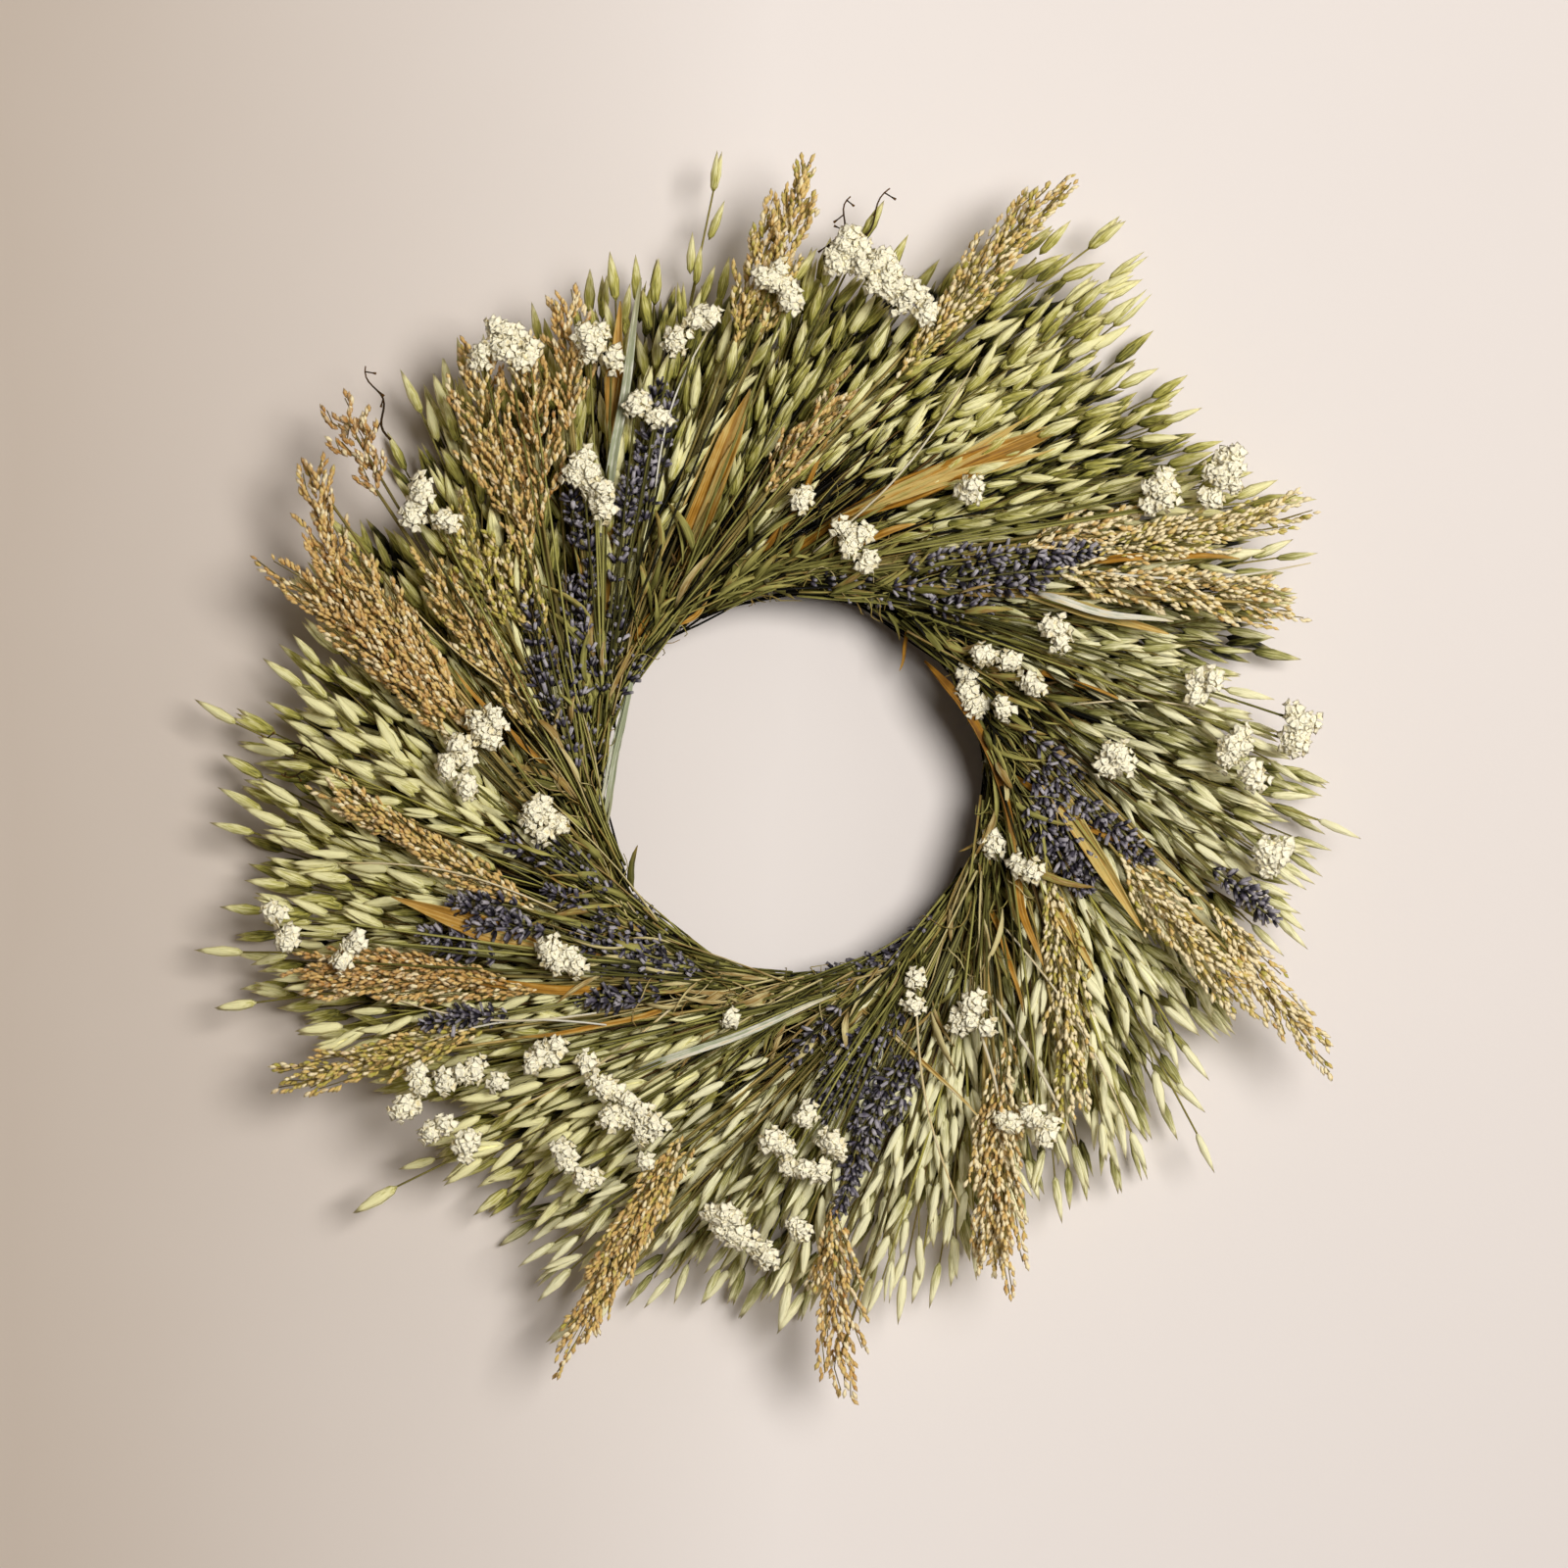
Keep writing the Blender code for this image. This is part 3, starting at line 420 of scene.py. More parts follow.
def axes_of(runs, up=UP):
    """Unit vectors ahead, across and up for each run, also for one that stands upright."""
    ahead = unit(runs)
    across = unit(np.cross(up, ahead) + 1e-6)
    return ahead, across, np.cross(ahead, across)


def floor_point(x, y):
    return np.array((x, y, 0.0))


def raised(points, height):
    """The points at these heights."""
    lifted = np.array(points, float)
    lifted[..., 2] = height
    return lifted


def on_swirl(root, along, aside=0.0):
    """The point this far along the tangent that leaves the hole at the root angle."""
    reach = np.asarray(SWIRL_RADIUS + np.asarray(aside, float))
    return outward(root) * reach[..., None] + clockwise(root) * np.asarray(along, float)[..., None]


def along_of(points):
    return np.sqrt(np.maximum(points[..., 0] ** 2 + points[..., 1] ** 2 - SWIRL_RADIUS**2, 0))


def angle_of(points):
    return np.arctan2(points[..., 1], points[..., 0])


def root_of(points):
    """The root angle of the tangent through each point."""
    return angle_of(points) + np.arctan2(along_of(points), SWIRL_RADIUS)


def bundle_root(index):
    return FIRST_BUNDLE - index * BUNDLE_STEP


def sector_roots(draw, root, shape):
    """Root angles spread at random over a bundle's sector."""
    return root + np.radians(draw.uniform(-HALF_SECTOR, HALF_SECTOR, shape))


def bundle_of(x, y):
    """Index of the bundle whose sector holds this point."""
    return round((FIRST_BUNDLE - float(root_of(floor_point(x, y)))) / BUNDLE_STEP) % BUNDLES


def rows_of(table, index):
    """The rows of a table whose place lies in this bundle's sector."""
    return [row for row in table if bundle_of(row[0], row[1]) == index]


def rim_reach(points):
    """Distance of the rim in the direction of each point."""
    return np.interp(np.degrees(angle_of(points)), RIM[:, 0], RIM[:, 1], period=360)


def painted_light_side(points):
    """How far each point lies to the lower side of the wreath, from -1 to 1: that side is painted lighter
    and the upper side darker, painted light and shade, partly also the husks' own paler colour.
    """
    return np.clip((points[..., 0] * 0.05 - points[..., 1]) / LIGHT_SIDE_REACH, -1, 1)


def bed_top(along):
    return np.interp(along, BED_ALONG, BED_TOP)


def layer_height(kind, along):
    """Height of a kind's layer at this distance along the stems."""
    share = np.clip((along - LIFT_FROM) / (LIFT_FULL - LIFT_FROM), 0, 1)
    inside, clear = LIFTS[kind]
    return bed_top(along) + mixed(inside, clear, share)


class Shape:
    """A small closed body that is copied many times: its points and the faces over them."""

    def __init__(self, points, corners, sizes):
        self.points = np.array(points, float)
        self.corners = np.array(corners, int)
        self.sizes = np.array(sizes, int)
        length = np.ptp(self.points[:, 0])
        self.along = (self.points[:, 0] - self.points[:, 0].min()) / length


def sleeve_faces(rings, sides):
    """Corners and face sizes of a closed sleeve: a point, then the rings, then a point."""
    corners = []
    sizes = []
    last = 1 + (rings - 1) * sides
    for side in range(sides):
        after = (side + 1) % sides
        corners += [0, 1 + after, 1 + side]
        corners += [last + side, last + after, last + sides]
        sizes += [3, 3]
        for near in range(1, last, sides):
            corners += [near + side, near + after, near + sides + after, near + sides + side]
            sizes.append(4)
    return np.array(corners), np.array(sizes)


def lofted(stations, section):
    """A closed body along x through rings of this cross-section, with a point at each end.

    A station is (x, width, depth, rise), and the first and last give the end points.
    """
    points = [(stations[0][0], 0, stations[0][3])]
    for x, width, depth, rise in stations[1:-1]:
        points += [(x, y * width, z * depth + rise) for y, z in section]
    points.append((stations[-1][0], 0, stations[-1][3]))
    return Shape(points, *sleeve_faces(len(stations) - 2, len(section)))


def sized_seed(stations, length, width):
    """A four-sided seed in these sizes, from settings in metres."""
    shape = lofted(stations, circle(4))
    broad = width / MM / SEED_WIDTH
    shape.points *= (length / MM / max(station[0] for station in stations), broad, broad)
    return shape


def merged(shapes):
    """One shape made of several."""
    points = np.concatenate([shape.points for shape in shapes])
    firsts = np.cumsum([0] + [len(shape.points) for shape in shapes[:-1]])
    corners = np.concatenate([shape.corners + first for shape, first in zip(shapes, firsts)])
    return Shape(points, corners, np.concatenate([shape.sizes for shape in shapes]))


def turned(shape, pitch, roll=0.0):
    """The shape pitched up about its base, then rolled about x, in degrees."""
    pitch, roll = math.radians(pitch), math.radians(roll)
    x, y, z = shape.points.T
    x, z = x * math.cos(pitch) - z * math.sin(pitch), x * math.sin(pitch) + z * math.cos(pitch)
    y, z = y * math.cos(roll) - z * math.sin(roll), y * math.sin(roll) + z * math.cos(roll)
    return Shape(np.stack((x, y, z), -1), shape.corners, shape.sizes)


def circle(sides, turn=0.0):
    """Corners of a round cross-section of radius one."""
    angles = (np.arange(sides) + turn) * math.tau / sides
    return [(math.cos(angle), math.sin(angle)) for angle in angles]


class Growth:
    """Many small shapes, collected and then made into one mesh object."""

    PARTS = ("points", "grain", "along", "tones", "corners", "sizes", "finishes")

    def __init__(self):
        self.parts = {part: [] for part in self.PARTS}
        self.total = 0

    def add(self, points, grain, along, tones, corners, sizes, finish):
        """Adds copies of one topology: points and grain are (copies, corners, 3)."""
        copies, count = points.shape[:2]
        firsts = self.total + np.arange(copies) * count
        added = (
            points.reshape(-1, 3), grain.reshape(-1, 3), np.broadcast_to(along, (copies, count)).ravel(),
            np.repeat(np.broadcast_to(tones, copies), count), (corners + firsts[:, None]).ravel(),
            np.tile(sizes, copies), np.full(copies * len(sizes), finish))
        for part, values in zip(self.PARTS, added):
            self.parts[part].append(values)
        self.total += copies * count

    def shift(self, count, period, step):
        """Moves the grain from copy to copy, so that no two of them show the same part of the noise."""
        return np.outer(np.arange(count) + self.total % period, step)[:, None]

    def copies(self, shape, places, runs, rolls, scales, tones):
        """Copies of a shape, each with its x axis along its run and turned about it by its roll."""
        places = places.reshape(-1, 3)
        ahead, across, rise = axes_of(runs.reshape(-1, 3))
        cos, sin = np.cos(rolls).reshape(-1, 1), np.sin(rolls).reshape(-1, 1)
        across, rise = across * cos + rise * sin, rise * cos - across * sin
        frames = np.stack((ahead, across, rise), 1)
        local = shape.points[None] * scales.reshape(-1, 1, 1)
        points = places[:, None] + np.einsum("nkj,nji->nki", local, frames)
        grain = local + self.shift(len(places), 97, (3.1, 7.7, 5.3))
        self.add(points, grain, shape.along, tones.ravel(), shape.corners, shape.sizes, 0)

    def sleeves(self, paths, rings, section, tones, finish):
        """Closed sleeves along paths (pieces, knots, 3) through rings (pieces, knots, sides, 3).

        The section gives the grain's two coordinates across each ring, in millimetres.
        """
        count, knots, sides = rings.shape[:3]
        points = np.concatenate((paths[:, :1], rings.reshape(count, -1, 3), paths[:, -1:]), 1)
        steps = np.linalg.norm(np.diff(paths, axis=1), axis=-1)
        length = np.concatenate((np.zeros((count, 1)), np.cumsum(steps, 1)), 1)
        grain = np.zeros((count, knots, sides, 3))
        grain[..., 0] = length[:, :, None]
        grain[..., 1:] = section
        grain = grain.reshape(count, -1, 3)
        grain = np.concatenate((grain[:, :1], grain, grain[:, -1:]), 1)
        grain += self.shift(count, 89, (3.7, 9.1, 6.1))
        share = length / length[:, -1:]
        along = np.concatenate((share[:, :1], np.repeat(share, sides, 1), share[:, -1:]), 1)
        self.add(points, grain, along, tones, *sleeve_faces(knots, sides), finish)

    def tubes(self, paths, radii, sides, tones, finish=0):
        """Round stems along paths. The radius is one, a pair for the ends, or an array for the knots."""
        paths = paths.reshape(-1, *paths.shape[-2:])
        if isinstance(radii, tuple):
            radii = np.linspace(*radii, paths.shape[1])
        _, across, rise = axes_of(np.gradient(paths, axis=1))
        section = np.array(circle(sides))
        radii = np.broadcast_to(radii, paths.shape[:2])[..., None, None]
        ring = across[:, :, None] * section[:, :1] + rise[:, :, None] * section[:, 1:]
        self.sleeves(paths, paths[:, :, None] + ring * radii, section * 2, tones, finish)

    def strips(self, paths, widths, up, curl, thickness, columns, tones, finish=0):
        """Leaves along paths: closed thin shells with a width and a curl for each knot."""
        paths = paths.reshape(-1, *paths.shape[-2:])
        _, across, rise = axes_of(np.gradient(paths, axis=1), up)
        spread = np.linspace(-0.5, 0.5, columns)
        widths = np.broadcast_to(widths, paths.shape[:2])[..., None]
        curl = np.broadcast_to(curl, paths.shape[:2])[..., None]
        bow = curl * widths * (4 * spread**2 - 0.33)
        middle = paths[:, :, None] + across[:, :, None] * (widths * spread)[..., None]
        middle = middle + rise[:, :, None] * bow[..., None]
        half = rise[:, :, None] * thickness / 2
        rings = np.concatenate(((middle + half)[:, :, ::-1], middle - half), 2)
        across_grain = np.concatenate((spread[::-1], spread)) * widths
        section = np.stack((across_grain, np.zeros_like(across_grain)), -1)
        self.sleeves(paths, rings, section, tones, finish)

    def build(self, name, finishes, slot, nodes=(), smooth=True):
        """The mesh object, which rides on the wreath's body and stands for those nodes it has."""
        parts = (np.concatenate(self.parts[part]) for part in self.PARTS)
        points, grain, along, tones, corners, sizes, numbers = parts
        mesh = bpy.data.meshes.new(name)
        mesh.vertices.add(self.total)
        mesh.vertices.foreach_set("co", ((points + HOLE_CENTRE) * MM).ravel())
        mesh.loops.add(len(corners))
        mesh.loops.foreach_set("vertex_index", corners)
        mesh.polygons.add(len(sizes))
        mesh.polygons.foreach_set("loop_start", np.cumsum(sizes) - sizes)
        mesh.polygons.foreach_set("material_index", numbers)
        mesh.update(calc_edges=True)
        vectors = mesh.attributes.new("grain", "FLOAT_VECTOR", "POINT")
        vectors.data.foreach_set("vector", grain.ravel())
        for label, values in (("along", along), ("tone", tones)):
            mesh.attributes.new(label, "FLOAT", "POINT").data.foreach_set("value", values)
        if smooth:
            mesh.shade_smooth()
        for finish in finishes:
            mesh.materials.append(finish)
        piece = bpy.data.objects.new(name, mesh)
        bpy.context.scene.collection.objects.link(piece)
        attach(piece, "root")
        nodes = [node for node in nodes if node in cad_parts]
        if nodes:
            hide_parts(*nodes)


def new_growth(kind, index):
    """The random draws and the empty growth for one piece."""
    return np.random.default_rng(SEEDS[kind] + index), Growth()


def numbered(index):
    return f"{index + 1:02d}"


def feed(tree, node, inputs):
    """Sets each input of a node to its value, or links it to its socket."""
    for name, value in inputs.items():
        if isinstance(value, bpy.types.NodeSocket):
            tree.links.new(value, node.inputs[name])
        else:
            node.inputs[name].default_value = value


def add_node(tree, kind, inputs, **options):
    node = tree.nodes.new(f"ShaderNode{kind}")
    for name, value in options.items():
        setattr(node, name, value)
    feed(tree, node, inputs)
    return node


def new_finish(name):
    """A material with nodes, its node tree and its shader."""
    material = bpy.data.materials.new(name)
    material.use_nodes = True
    return material, material.node_tree, material.node_tree.nodes["Principled BSDF"]


def object_place(tree):
    return tree.nodes.new("ShaderNodeTexCoord").outputs["Object"]


def attribute(tree, name, output):
    return add_node(tree, "Attribute", {}, attribute_name=name).outputs[output]


def stretched_noise(tree, vector, scale, detail=2.0):
    """Noise over a vector that is first scaled along each axis."""
    stretched = add_node(tree, "VectorMath", {0: vector, 1: scale}, operation="MULTIPLY").outputs[0]
    return add_node(tree, "TexNoise", {"Vector": stretched, "Scale": 1.0, "Detail": detail}).outputs["Fac"]


def scaled_sum(tree, terms, start):
    """The sum of sockets, each times its factor, plus a start value."""
    total = start
    for socket, factor in terms:
        inputs = {0: socket, 1: factor, 2: total}
        total = add_node(tree, "Math", inputs, operation="MULTIPLY_ADD").outputs[0]
    return total


def colour_ramp(tree, value, stops):
    """Colours along a value: stops are (position, colour)."""
    node = add_node(tree, "ValToRGB", {"Fac": value})
    while len(node.color_ramp.elements) < len(stops):
        node.color_ramp.elements.new(1.0)
    for element, (position, colour) in zip(node.color_ramp.elements, stops):
        element.position = position
        element.color = (*colour, 1.0)
    return node.outputs["Color"]


def mixed_colour(tree, share, first, second):
    """The first colour turned into the second one, a fixed colour, by the share."""
    inputs = {"Factor": share, 6: first, 7: (*second, 1.0)}
    return add_node(tree, "Mix", inputs, data_type="RGBA").outputs[2]


def ranged(tree, value, low, high, most=1.0):
    """A value turned to 0 at low and to most at high."""
    inputs = {"Value": value, "From Min": low, "From Max": high, "To Max": most}
    return add_node(tree, "MapRange", inputs).outputs["Result"]


def relief(tree, height, strength, distance):
    """The normal of a fine relief on the surface, from a height between 0 and 1."""
    inputs = {"Strength": strength, "Distance": distance, "Height": height}
    return add_node(tree, "Bump", inputs).outputs["Normal"]


def plant_finish(name, stops, tip, fibres, streaks=0.3, blotches=0.2, lengthwise=0.0,
                 tip_from=0.7, tip_share=0.7, roughness=0.65, bump=0.25):
    """A dried plant's skin: fibres along it, blotches, a tone for each copy and paler tips.

    Fibres give the scale of the streaks along and across the piece, per millimetre.
    """
    material, tree, shader = new_finish(name)
    grain = attribute(tree, "grain", "Vector")
    along = attribute(tree, "along", "Fac")
    tone = attribute(tree, "tone", "Fac")
    lengthways, crossways = fibres
    streak = ranged(tree, stretched_noise(tree, grain, (lengthways, crossways, crossways)), *NOISE_RANGE)
    blotch = ranged(tree, stretched_noise(tree, grain, BLOTCH_SCALE), *NOISE_RANGE)
    terms = ((tone, 1.0), (streak, streaks), (blotch, blotches), (along, lengthwise))
    colour = colour_ramp(tree, scaled_sum(tree, terms, -(streaks + blotches) / 2), stops)
    feed(tree, shader, {
        "Base Color": mixed_colour(tree, ranged(tree, along, tip_from, 1.0, tip_share), colour, tip),
        "Roughness": scaled_sum(tree, ((streak, ROUGH_RANGE),), roughness - ROUGH_RANGE / 2),
        "Normal": relief(tree, streak, bump, 0.0006),
        "Specular IOR Level": 0.16,
    })
    return material


def wire_finish(colour):
    """Brown-green lacquered wire, worn in patches and finely drawn along its length."""
    material, tree, shader = new_finish("dull_wire")
    place = object_place(tree)
    patch = stretched_noise(tree, place, (180, 180, 180), 4.0)
    dark = tuple(channel * 0.45 for channel in colour)
    feed(tree, shader, {
        "Base Color": colour_ramp(tree, patch, ((0.32, dark), (0.66, colour))),
        "Roughness": scaled_sum(tree, ((patch, 0.5),), 0.16),
        "Metallic": 0.2,
        "Normal": relief(tree, stretched_noise(tree, place, (900, 900, 2600)), 0.2, 0.0003),
    })
    return material


def floor_finish(left, middle, right):
    """Smooth painted plaster, faintly mottled, with a painted shadow in a band left of the wreath and
    painted shade to the right.
    """
    material, tree, shader = new_finish("pale_floor")
    place = object_place(tree)
    mottle = stretched_noise(tree, place, (5, 5, 5), 4.0)
    sideways = add_node(tree, "SeparateXYZ", {0: place}).outputs["X"]
    share = scaled_sum(tree, ((sideways, 0.3125), (mottle, 0.02)), 0.49)
    stops = ((0.15, middle), (0.375, left), (0.5, middle), (0.625, right))
    feed(tree, shader, {
        "Base Color": colour_ramp(tree, share, stops),
        "Roughness": 0.9,
        "Specular IOR Level": 0.1,
        "Normal": relief(tree, stretched_noise(tree, place, (420, 420, 420), 3.0), 0.04, 0.001),
    })
    return material


class Stalks:
    """Stalks that leave one clamp side by side and fan out to their tips."""

    def __init__(self, draw, root, tips, rises, knee=0.16):
        count = len(tips)
        self.rises = rises
        self.tips = tips
        aside = draw.uniform(GRIP_INSIDE + 0.9, GRIP_OUTSIDE - 0.9, count)
        self.butt = mixed(BUTT_BOTTOM + 1.3, BUTT_TOP, rises)
        self.start = raised(on_swirl(root, draw.uniform(-18, 10, count), aside), self.butt)
        self.mouth = raised(on_swirl(root, MOUTH, aside), self.butt)
        self.reach = np.linalg.norm((tips - self.mouth)[:, :2], axis=1)
        self.knee = self.mouth + clockwise(root) * (self.reach * knee)[:, None]
        self.wave = draw.uniform(-1, 1, (count, 2)) * 2.4
        self.bow = draw.uniform(-1, 1, count) * 7

    def at(self, shares):
        """Points at these shares (stalks, knots) of the way from the mouth to the tip."""
        s = shares[..., None]
        mouth, knee, tips = self.mouth[:, None], self.knee[:, None], self.tips[:, None]
        plan = mixed(mixed(mouth, knee, s), mixed(knee, tips, s), s)
        bow = self.bow[:, None] * np.sin(math.pi * np.clip(shares, 0, 1))
        plan = plan + left_of(tips - mouth) * bow[..., None]
        wave = self.wave[:, :1] * np.sin(math.pi * shares) + self.wave[:, 1:] * np.sin(math.tau * shares)
        height = bed_top(along_of(plan)) * self.rises[:, None] + wave
        height = mixed(self.butt[:, None], height, np.clip(shares * 6, 0, 1))
        return raised(plan, np.maximum(height, LOWEST_STEM))

    def run(self, shares):
        return unit(self.at(np.minimum(shares + 0.02, 1.06)) - self.at(shares - 0.02))

    def paths(self, knots, until):
        """Whole paths: the cut end, then the way through the clamp and on."""
        shares = np.broadcast_to(np.linspace(0, 1, knots) * until, (len(self.tips), knots))
        return np.concatenate((self.start[:, None], self.at(shares)), 1)


def oat_tips(roots, shares):
    """Tips on these tangents, at a share of the way to the rim of the wreath."""
    reach = np.full(len(roots), MIDDLE_REACH)
    for _ in range(4):
        reach = rim_reach(on_swirl(roots, np.sqrt(reach**2 - SWIRL_RADIUS**2)))
    return on_swirl(roots, np.sqrt(np.maximum((reach * shares) ** 2 - SWIRL_RADIUS**2, SHORTEST**2)))


def spread_evenly(draw, count):
    """Shuffled values that cover 0 to 1 evenly."""
    return (draw.permutation(count) + draw.uniform(0, 1, count)) / count


def spread_stalks(draw, root, count, fan, lowest, depth, ends, power, knee):
    """Stalks that are spread evenly over a fan, in degrees, and over the depth of the sheaf."""
    roots = root + np.radians(-fan / 2 + fan * spread_evenly(draw, count))
    rises = lowest + depth * spread_evenly(draw, count)
    shares = mixed(*ends, draw.uniform(0, 1, count) ** power)
    return Stalks(draw, root, oat_tips(roots, shares), rises, knee)


def spikelet_shapes(look, slimness):
    """Oat spikelets, shut, half open and open: pointed husks round a kernel."""
    length, width = HUSK_SIZE
    broad = look.spikelet_width / MM / width * slimness
    stretch = np.array((look.spikelet_length / MM / length, broad, broad))
    husk = lofted(HUSK, HUSK_ARC)
    half_open, open_wide = (
        merged([turned(husk, gape), turned(turned(husk, gape + 1.5), 0, 180)]) for gape in (2.5, 6.5))
    kernel = lofted(KERNEL, circle(4, 0.5))
    shapes = [lofted(SHUT_HUSK, circle(6)), half_open, merged([open_wide, kernel])]
    for shape in shapes:
        shape.points *= stretch
    return shapes


def grow_panicles(growth, draw, stalks, shapes, spikelets, tones, spacing):
    """Spikelets on short stalklets along the last stretch of each stalk, left and right by turns."""
    count = len(stalks.tips)
    order = np.arange(spikelets)[None]
    back = order * spacing + draw.uniform(-0.3, 0.3, (count, spikelets)) * spacing * (order > 0)
    length = np.ptp(shapes[0].points[:, 0])
    shares = 1 - (back + length * 0.75) / stalks.reach[:, None]
    points = stalks.at(shares)
    runs = stalks.run(shares)
    across = left_of(runs)
    rise = np.cross(runs, across)
    side = np.where((order + draw.integers(0, 2, (count, 1))) % 2, 1, -1) * math.pi / 2
    around = side + draw.uniform(-0.9, 0.9, (count, spikelets))
    out = rise * np.cos(around)[..., None] + across * np.sin(around)[..., None]
    gap = draw.uniform(1.4, 4.6, (count, spikelets)) * (order > 0)
    bases = points + out * gap[..., None]
    bases[..., 2] = np.maximum(bases[..., 2], LOWEST_HUSK)
    splay = np.radians(draw.uniform(6, 22, (count, spikelets)) * np.where(order > 0, 1, 0.3))
    heading = runs * np.cos(splay)[..., None] + out * np.sin(splay)[..., None]
    heading[..., 2] = np.where(bases[..., 2] < NEAR_FLOOR, np.abs(heading[..., 2]), heading[..., 2])
    scales = draw.uniform(0.82, 1.06, (count, spikelets)) * (1 - 0.12 * order / spikelets)
    # Painted light and shade: the depth tone of each stalk, the lower side painted lighter, and husks at
    # the rim lifted out of the painted shade.
    shades = tones[:, None] + draw.uniform(-0.2, 0.2, (count, spikelets)) + 0.22 * painted_light_side(bases)
    reach = np.linalg.norm(bases[..., :2], axis=-1) / rim_reach(bases)
    lit_share = np.clip((reach - RIM_LIGHT_FROM) / RIM_LIGHT_OVER, 0, 1)
    shades = mixed(shades, np.maximum(shades, RIM_SHADE), lit_share)
    rolls = draw.uniform(0, math.tau, (count, spikelets))
    kinds = draw.choice(3, (count, spikelets), p=SPIKELET_SHARES)
    for kind, shape in enumerate(shapes):
        this = kinds == kind
        growth.copies(shape, bases[this], heading[this], rolls[this], scales[this], shades[this])
    feet = stalks.at(shares - STALKLET / stalks.reach[:, None])
    apart = gap > SEEN_GAP
    stalklets = np.stack((feet, bases + heading * 0.8), 2)[apart]
    growth.tubes(stalklets, (0.5, 0.42), 3, np.repeat(tones[:, None], spikelets, 1)[apart], 1)


def painted_depth_shade(draw, rises, deepest=-0.3, gain=1.04):
    """Tones painted darker the deeper a stalk lies, as painted shade of the depth."""
    return deepest + gain * rises + draw.uniform(-0.17, 0.17, len(rises))


def stem_light_and_shade(draw, stalks):
    """Tones of bare stems: many are painted dark as shade, the others painted lighter the higher they lie,
    and the upper side of the wreath painted darker.
    """
    count = len(stalks.rises)
    shaded = draw.uniform(0, 1, count) < 0.54
    tones = np.where(shaded, draw.uniform(-0.2, 0.16, count), painted_depth_shade(draw, stalks.rises, -0.7, 1.5))
    return tones + 0.35 * painted_light_side(stalks.tips)


def grow_sheaf(index, look, finishes):
    """One sheaf of oats: long and short stalks through its depth, and bare stems between them."""
    draw, growth = new_growth("oats", index)
    root = bundle_root(index)
    husk, bleached, stem = finishes
    is_bleached = index < BLEACHED_BUNDLES
    shapes = spikelet_shapes(look, BLEACHED_WIDTH if is_bleached else 1.0)
    spacing = look.panicle_length / MM / look.spikelets
    counts = (look.stalks, look.short_stalks, look.bare_stems)
    for count, spikelets, row in zip(counts, (look.spikelets, SHORT_SPIKELETS, 0), SHEAF):
        stalks = spread_stalks(draw, root, count, *row[:6])
        knots, length, radii = row[6:]
        if spikelets:
            tones = painted_depth_shade(draw, stalks.rises)
            grow_panicles(growth, draw, stalks, shapes, spikelets, tones, spacing)
        growth.tubes(stalks.paths(knots, length), radii, 3, stem_light_and_shade(draw, stalks), 1)

    tips = [floor_point(x, y) for x, y in rows_of(STRAYS, index)]
    if tips:
        strays = Stalks(draw, root, np.array(tips), np.full(len(tips), STRAY_RISE))
        tones = np.full(len(tips), STRAY_TONE)
        grow_panicles(growth, draw, strays, shapes, STRAY_SPIKELETS, tones, STRAY_SPACING)
        growth.tubes(strays.paths(12, 0.94), (1.2, 0.5), 4, tones, 1)
    number = numbered(index)
    finishes = (bleached if is_bleached else husk, stem)
    growth.build(f"oat_sheaf_{number}", finishes, "oats", (f"oats_{number}",))


def grow_stem_ends(growth, draw, kind, root):
    """Cut stem ends side by side in the clamp, where the model has its flat grip."""
    aside = np.linspace(GRIP_INSIDE + 1, GRIP_OUTSIDE - 1, STEM_ENDS)
    height = layer_height(kind, 20) + draw.uniform(-0.4, 0.4, STEM_ENDS)
    near = raised(on_swirl(root, draw.uniform(4, 16, STEM_ENDS), aside), height)
    far = raised(on_swirl(root, 30.0, aside), height)
    growth.tubes(np.stack((near, far), 1), 0.8, 5, draw.uniform(0.2, 0.8, STEM_ENDS), 1)


def stem_paths(kind, root, bases, draw):
    """Paths in the kind's layer from the clamp to each base, with the rise to the base at the end."""
    near = on_swirl(root, 27.0, draw.uniform(GRIP_INSIDE + 1, GRIP_OUTSIDE - 1, len(bases)))
    share = np.linspace(0, 1, 9)[None]
    plan = mixed(near[:, None], bases[:, None], share[..., None])
    layer = layer_height(kind, along_of(plan))
    return raised(plan, layer + (bases[:, 2] - layer[:, -1])[:, None] * share**2)


def build_sprigs(growth, draw, kind, index, bases, finishes, smooth=True):
    """Gives one bundle's heads of a kind their stems and cut ends, and makes the piece."""
    root = bundle_root(index)
    radius, tones = SPRIG_STEMS[kind]
    paths = stem_paths(kind, root, np.array(bases), draw)
    growth.tubes(paths, radius, 4, draw.uniform(*tones, len(bases)), 1)
    grow_stem_ends(growth, draw, kind, root)
    number = numbered(index)
    growth.build(f"{kind}_sprigs_{number}", finishes, kind, (f"{kind}_{number}",), smooth)


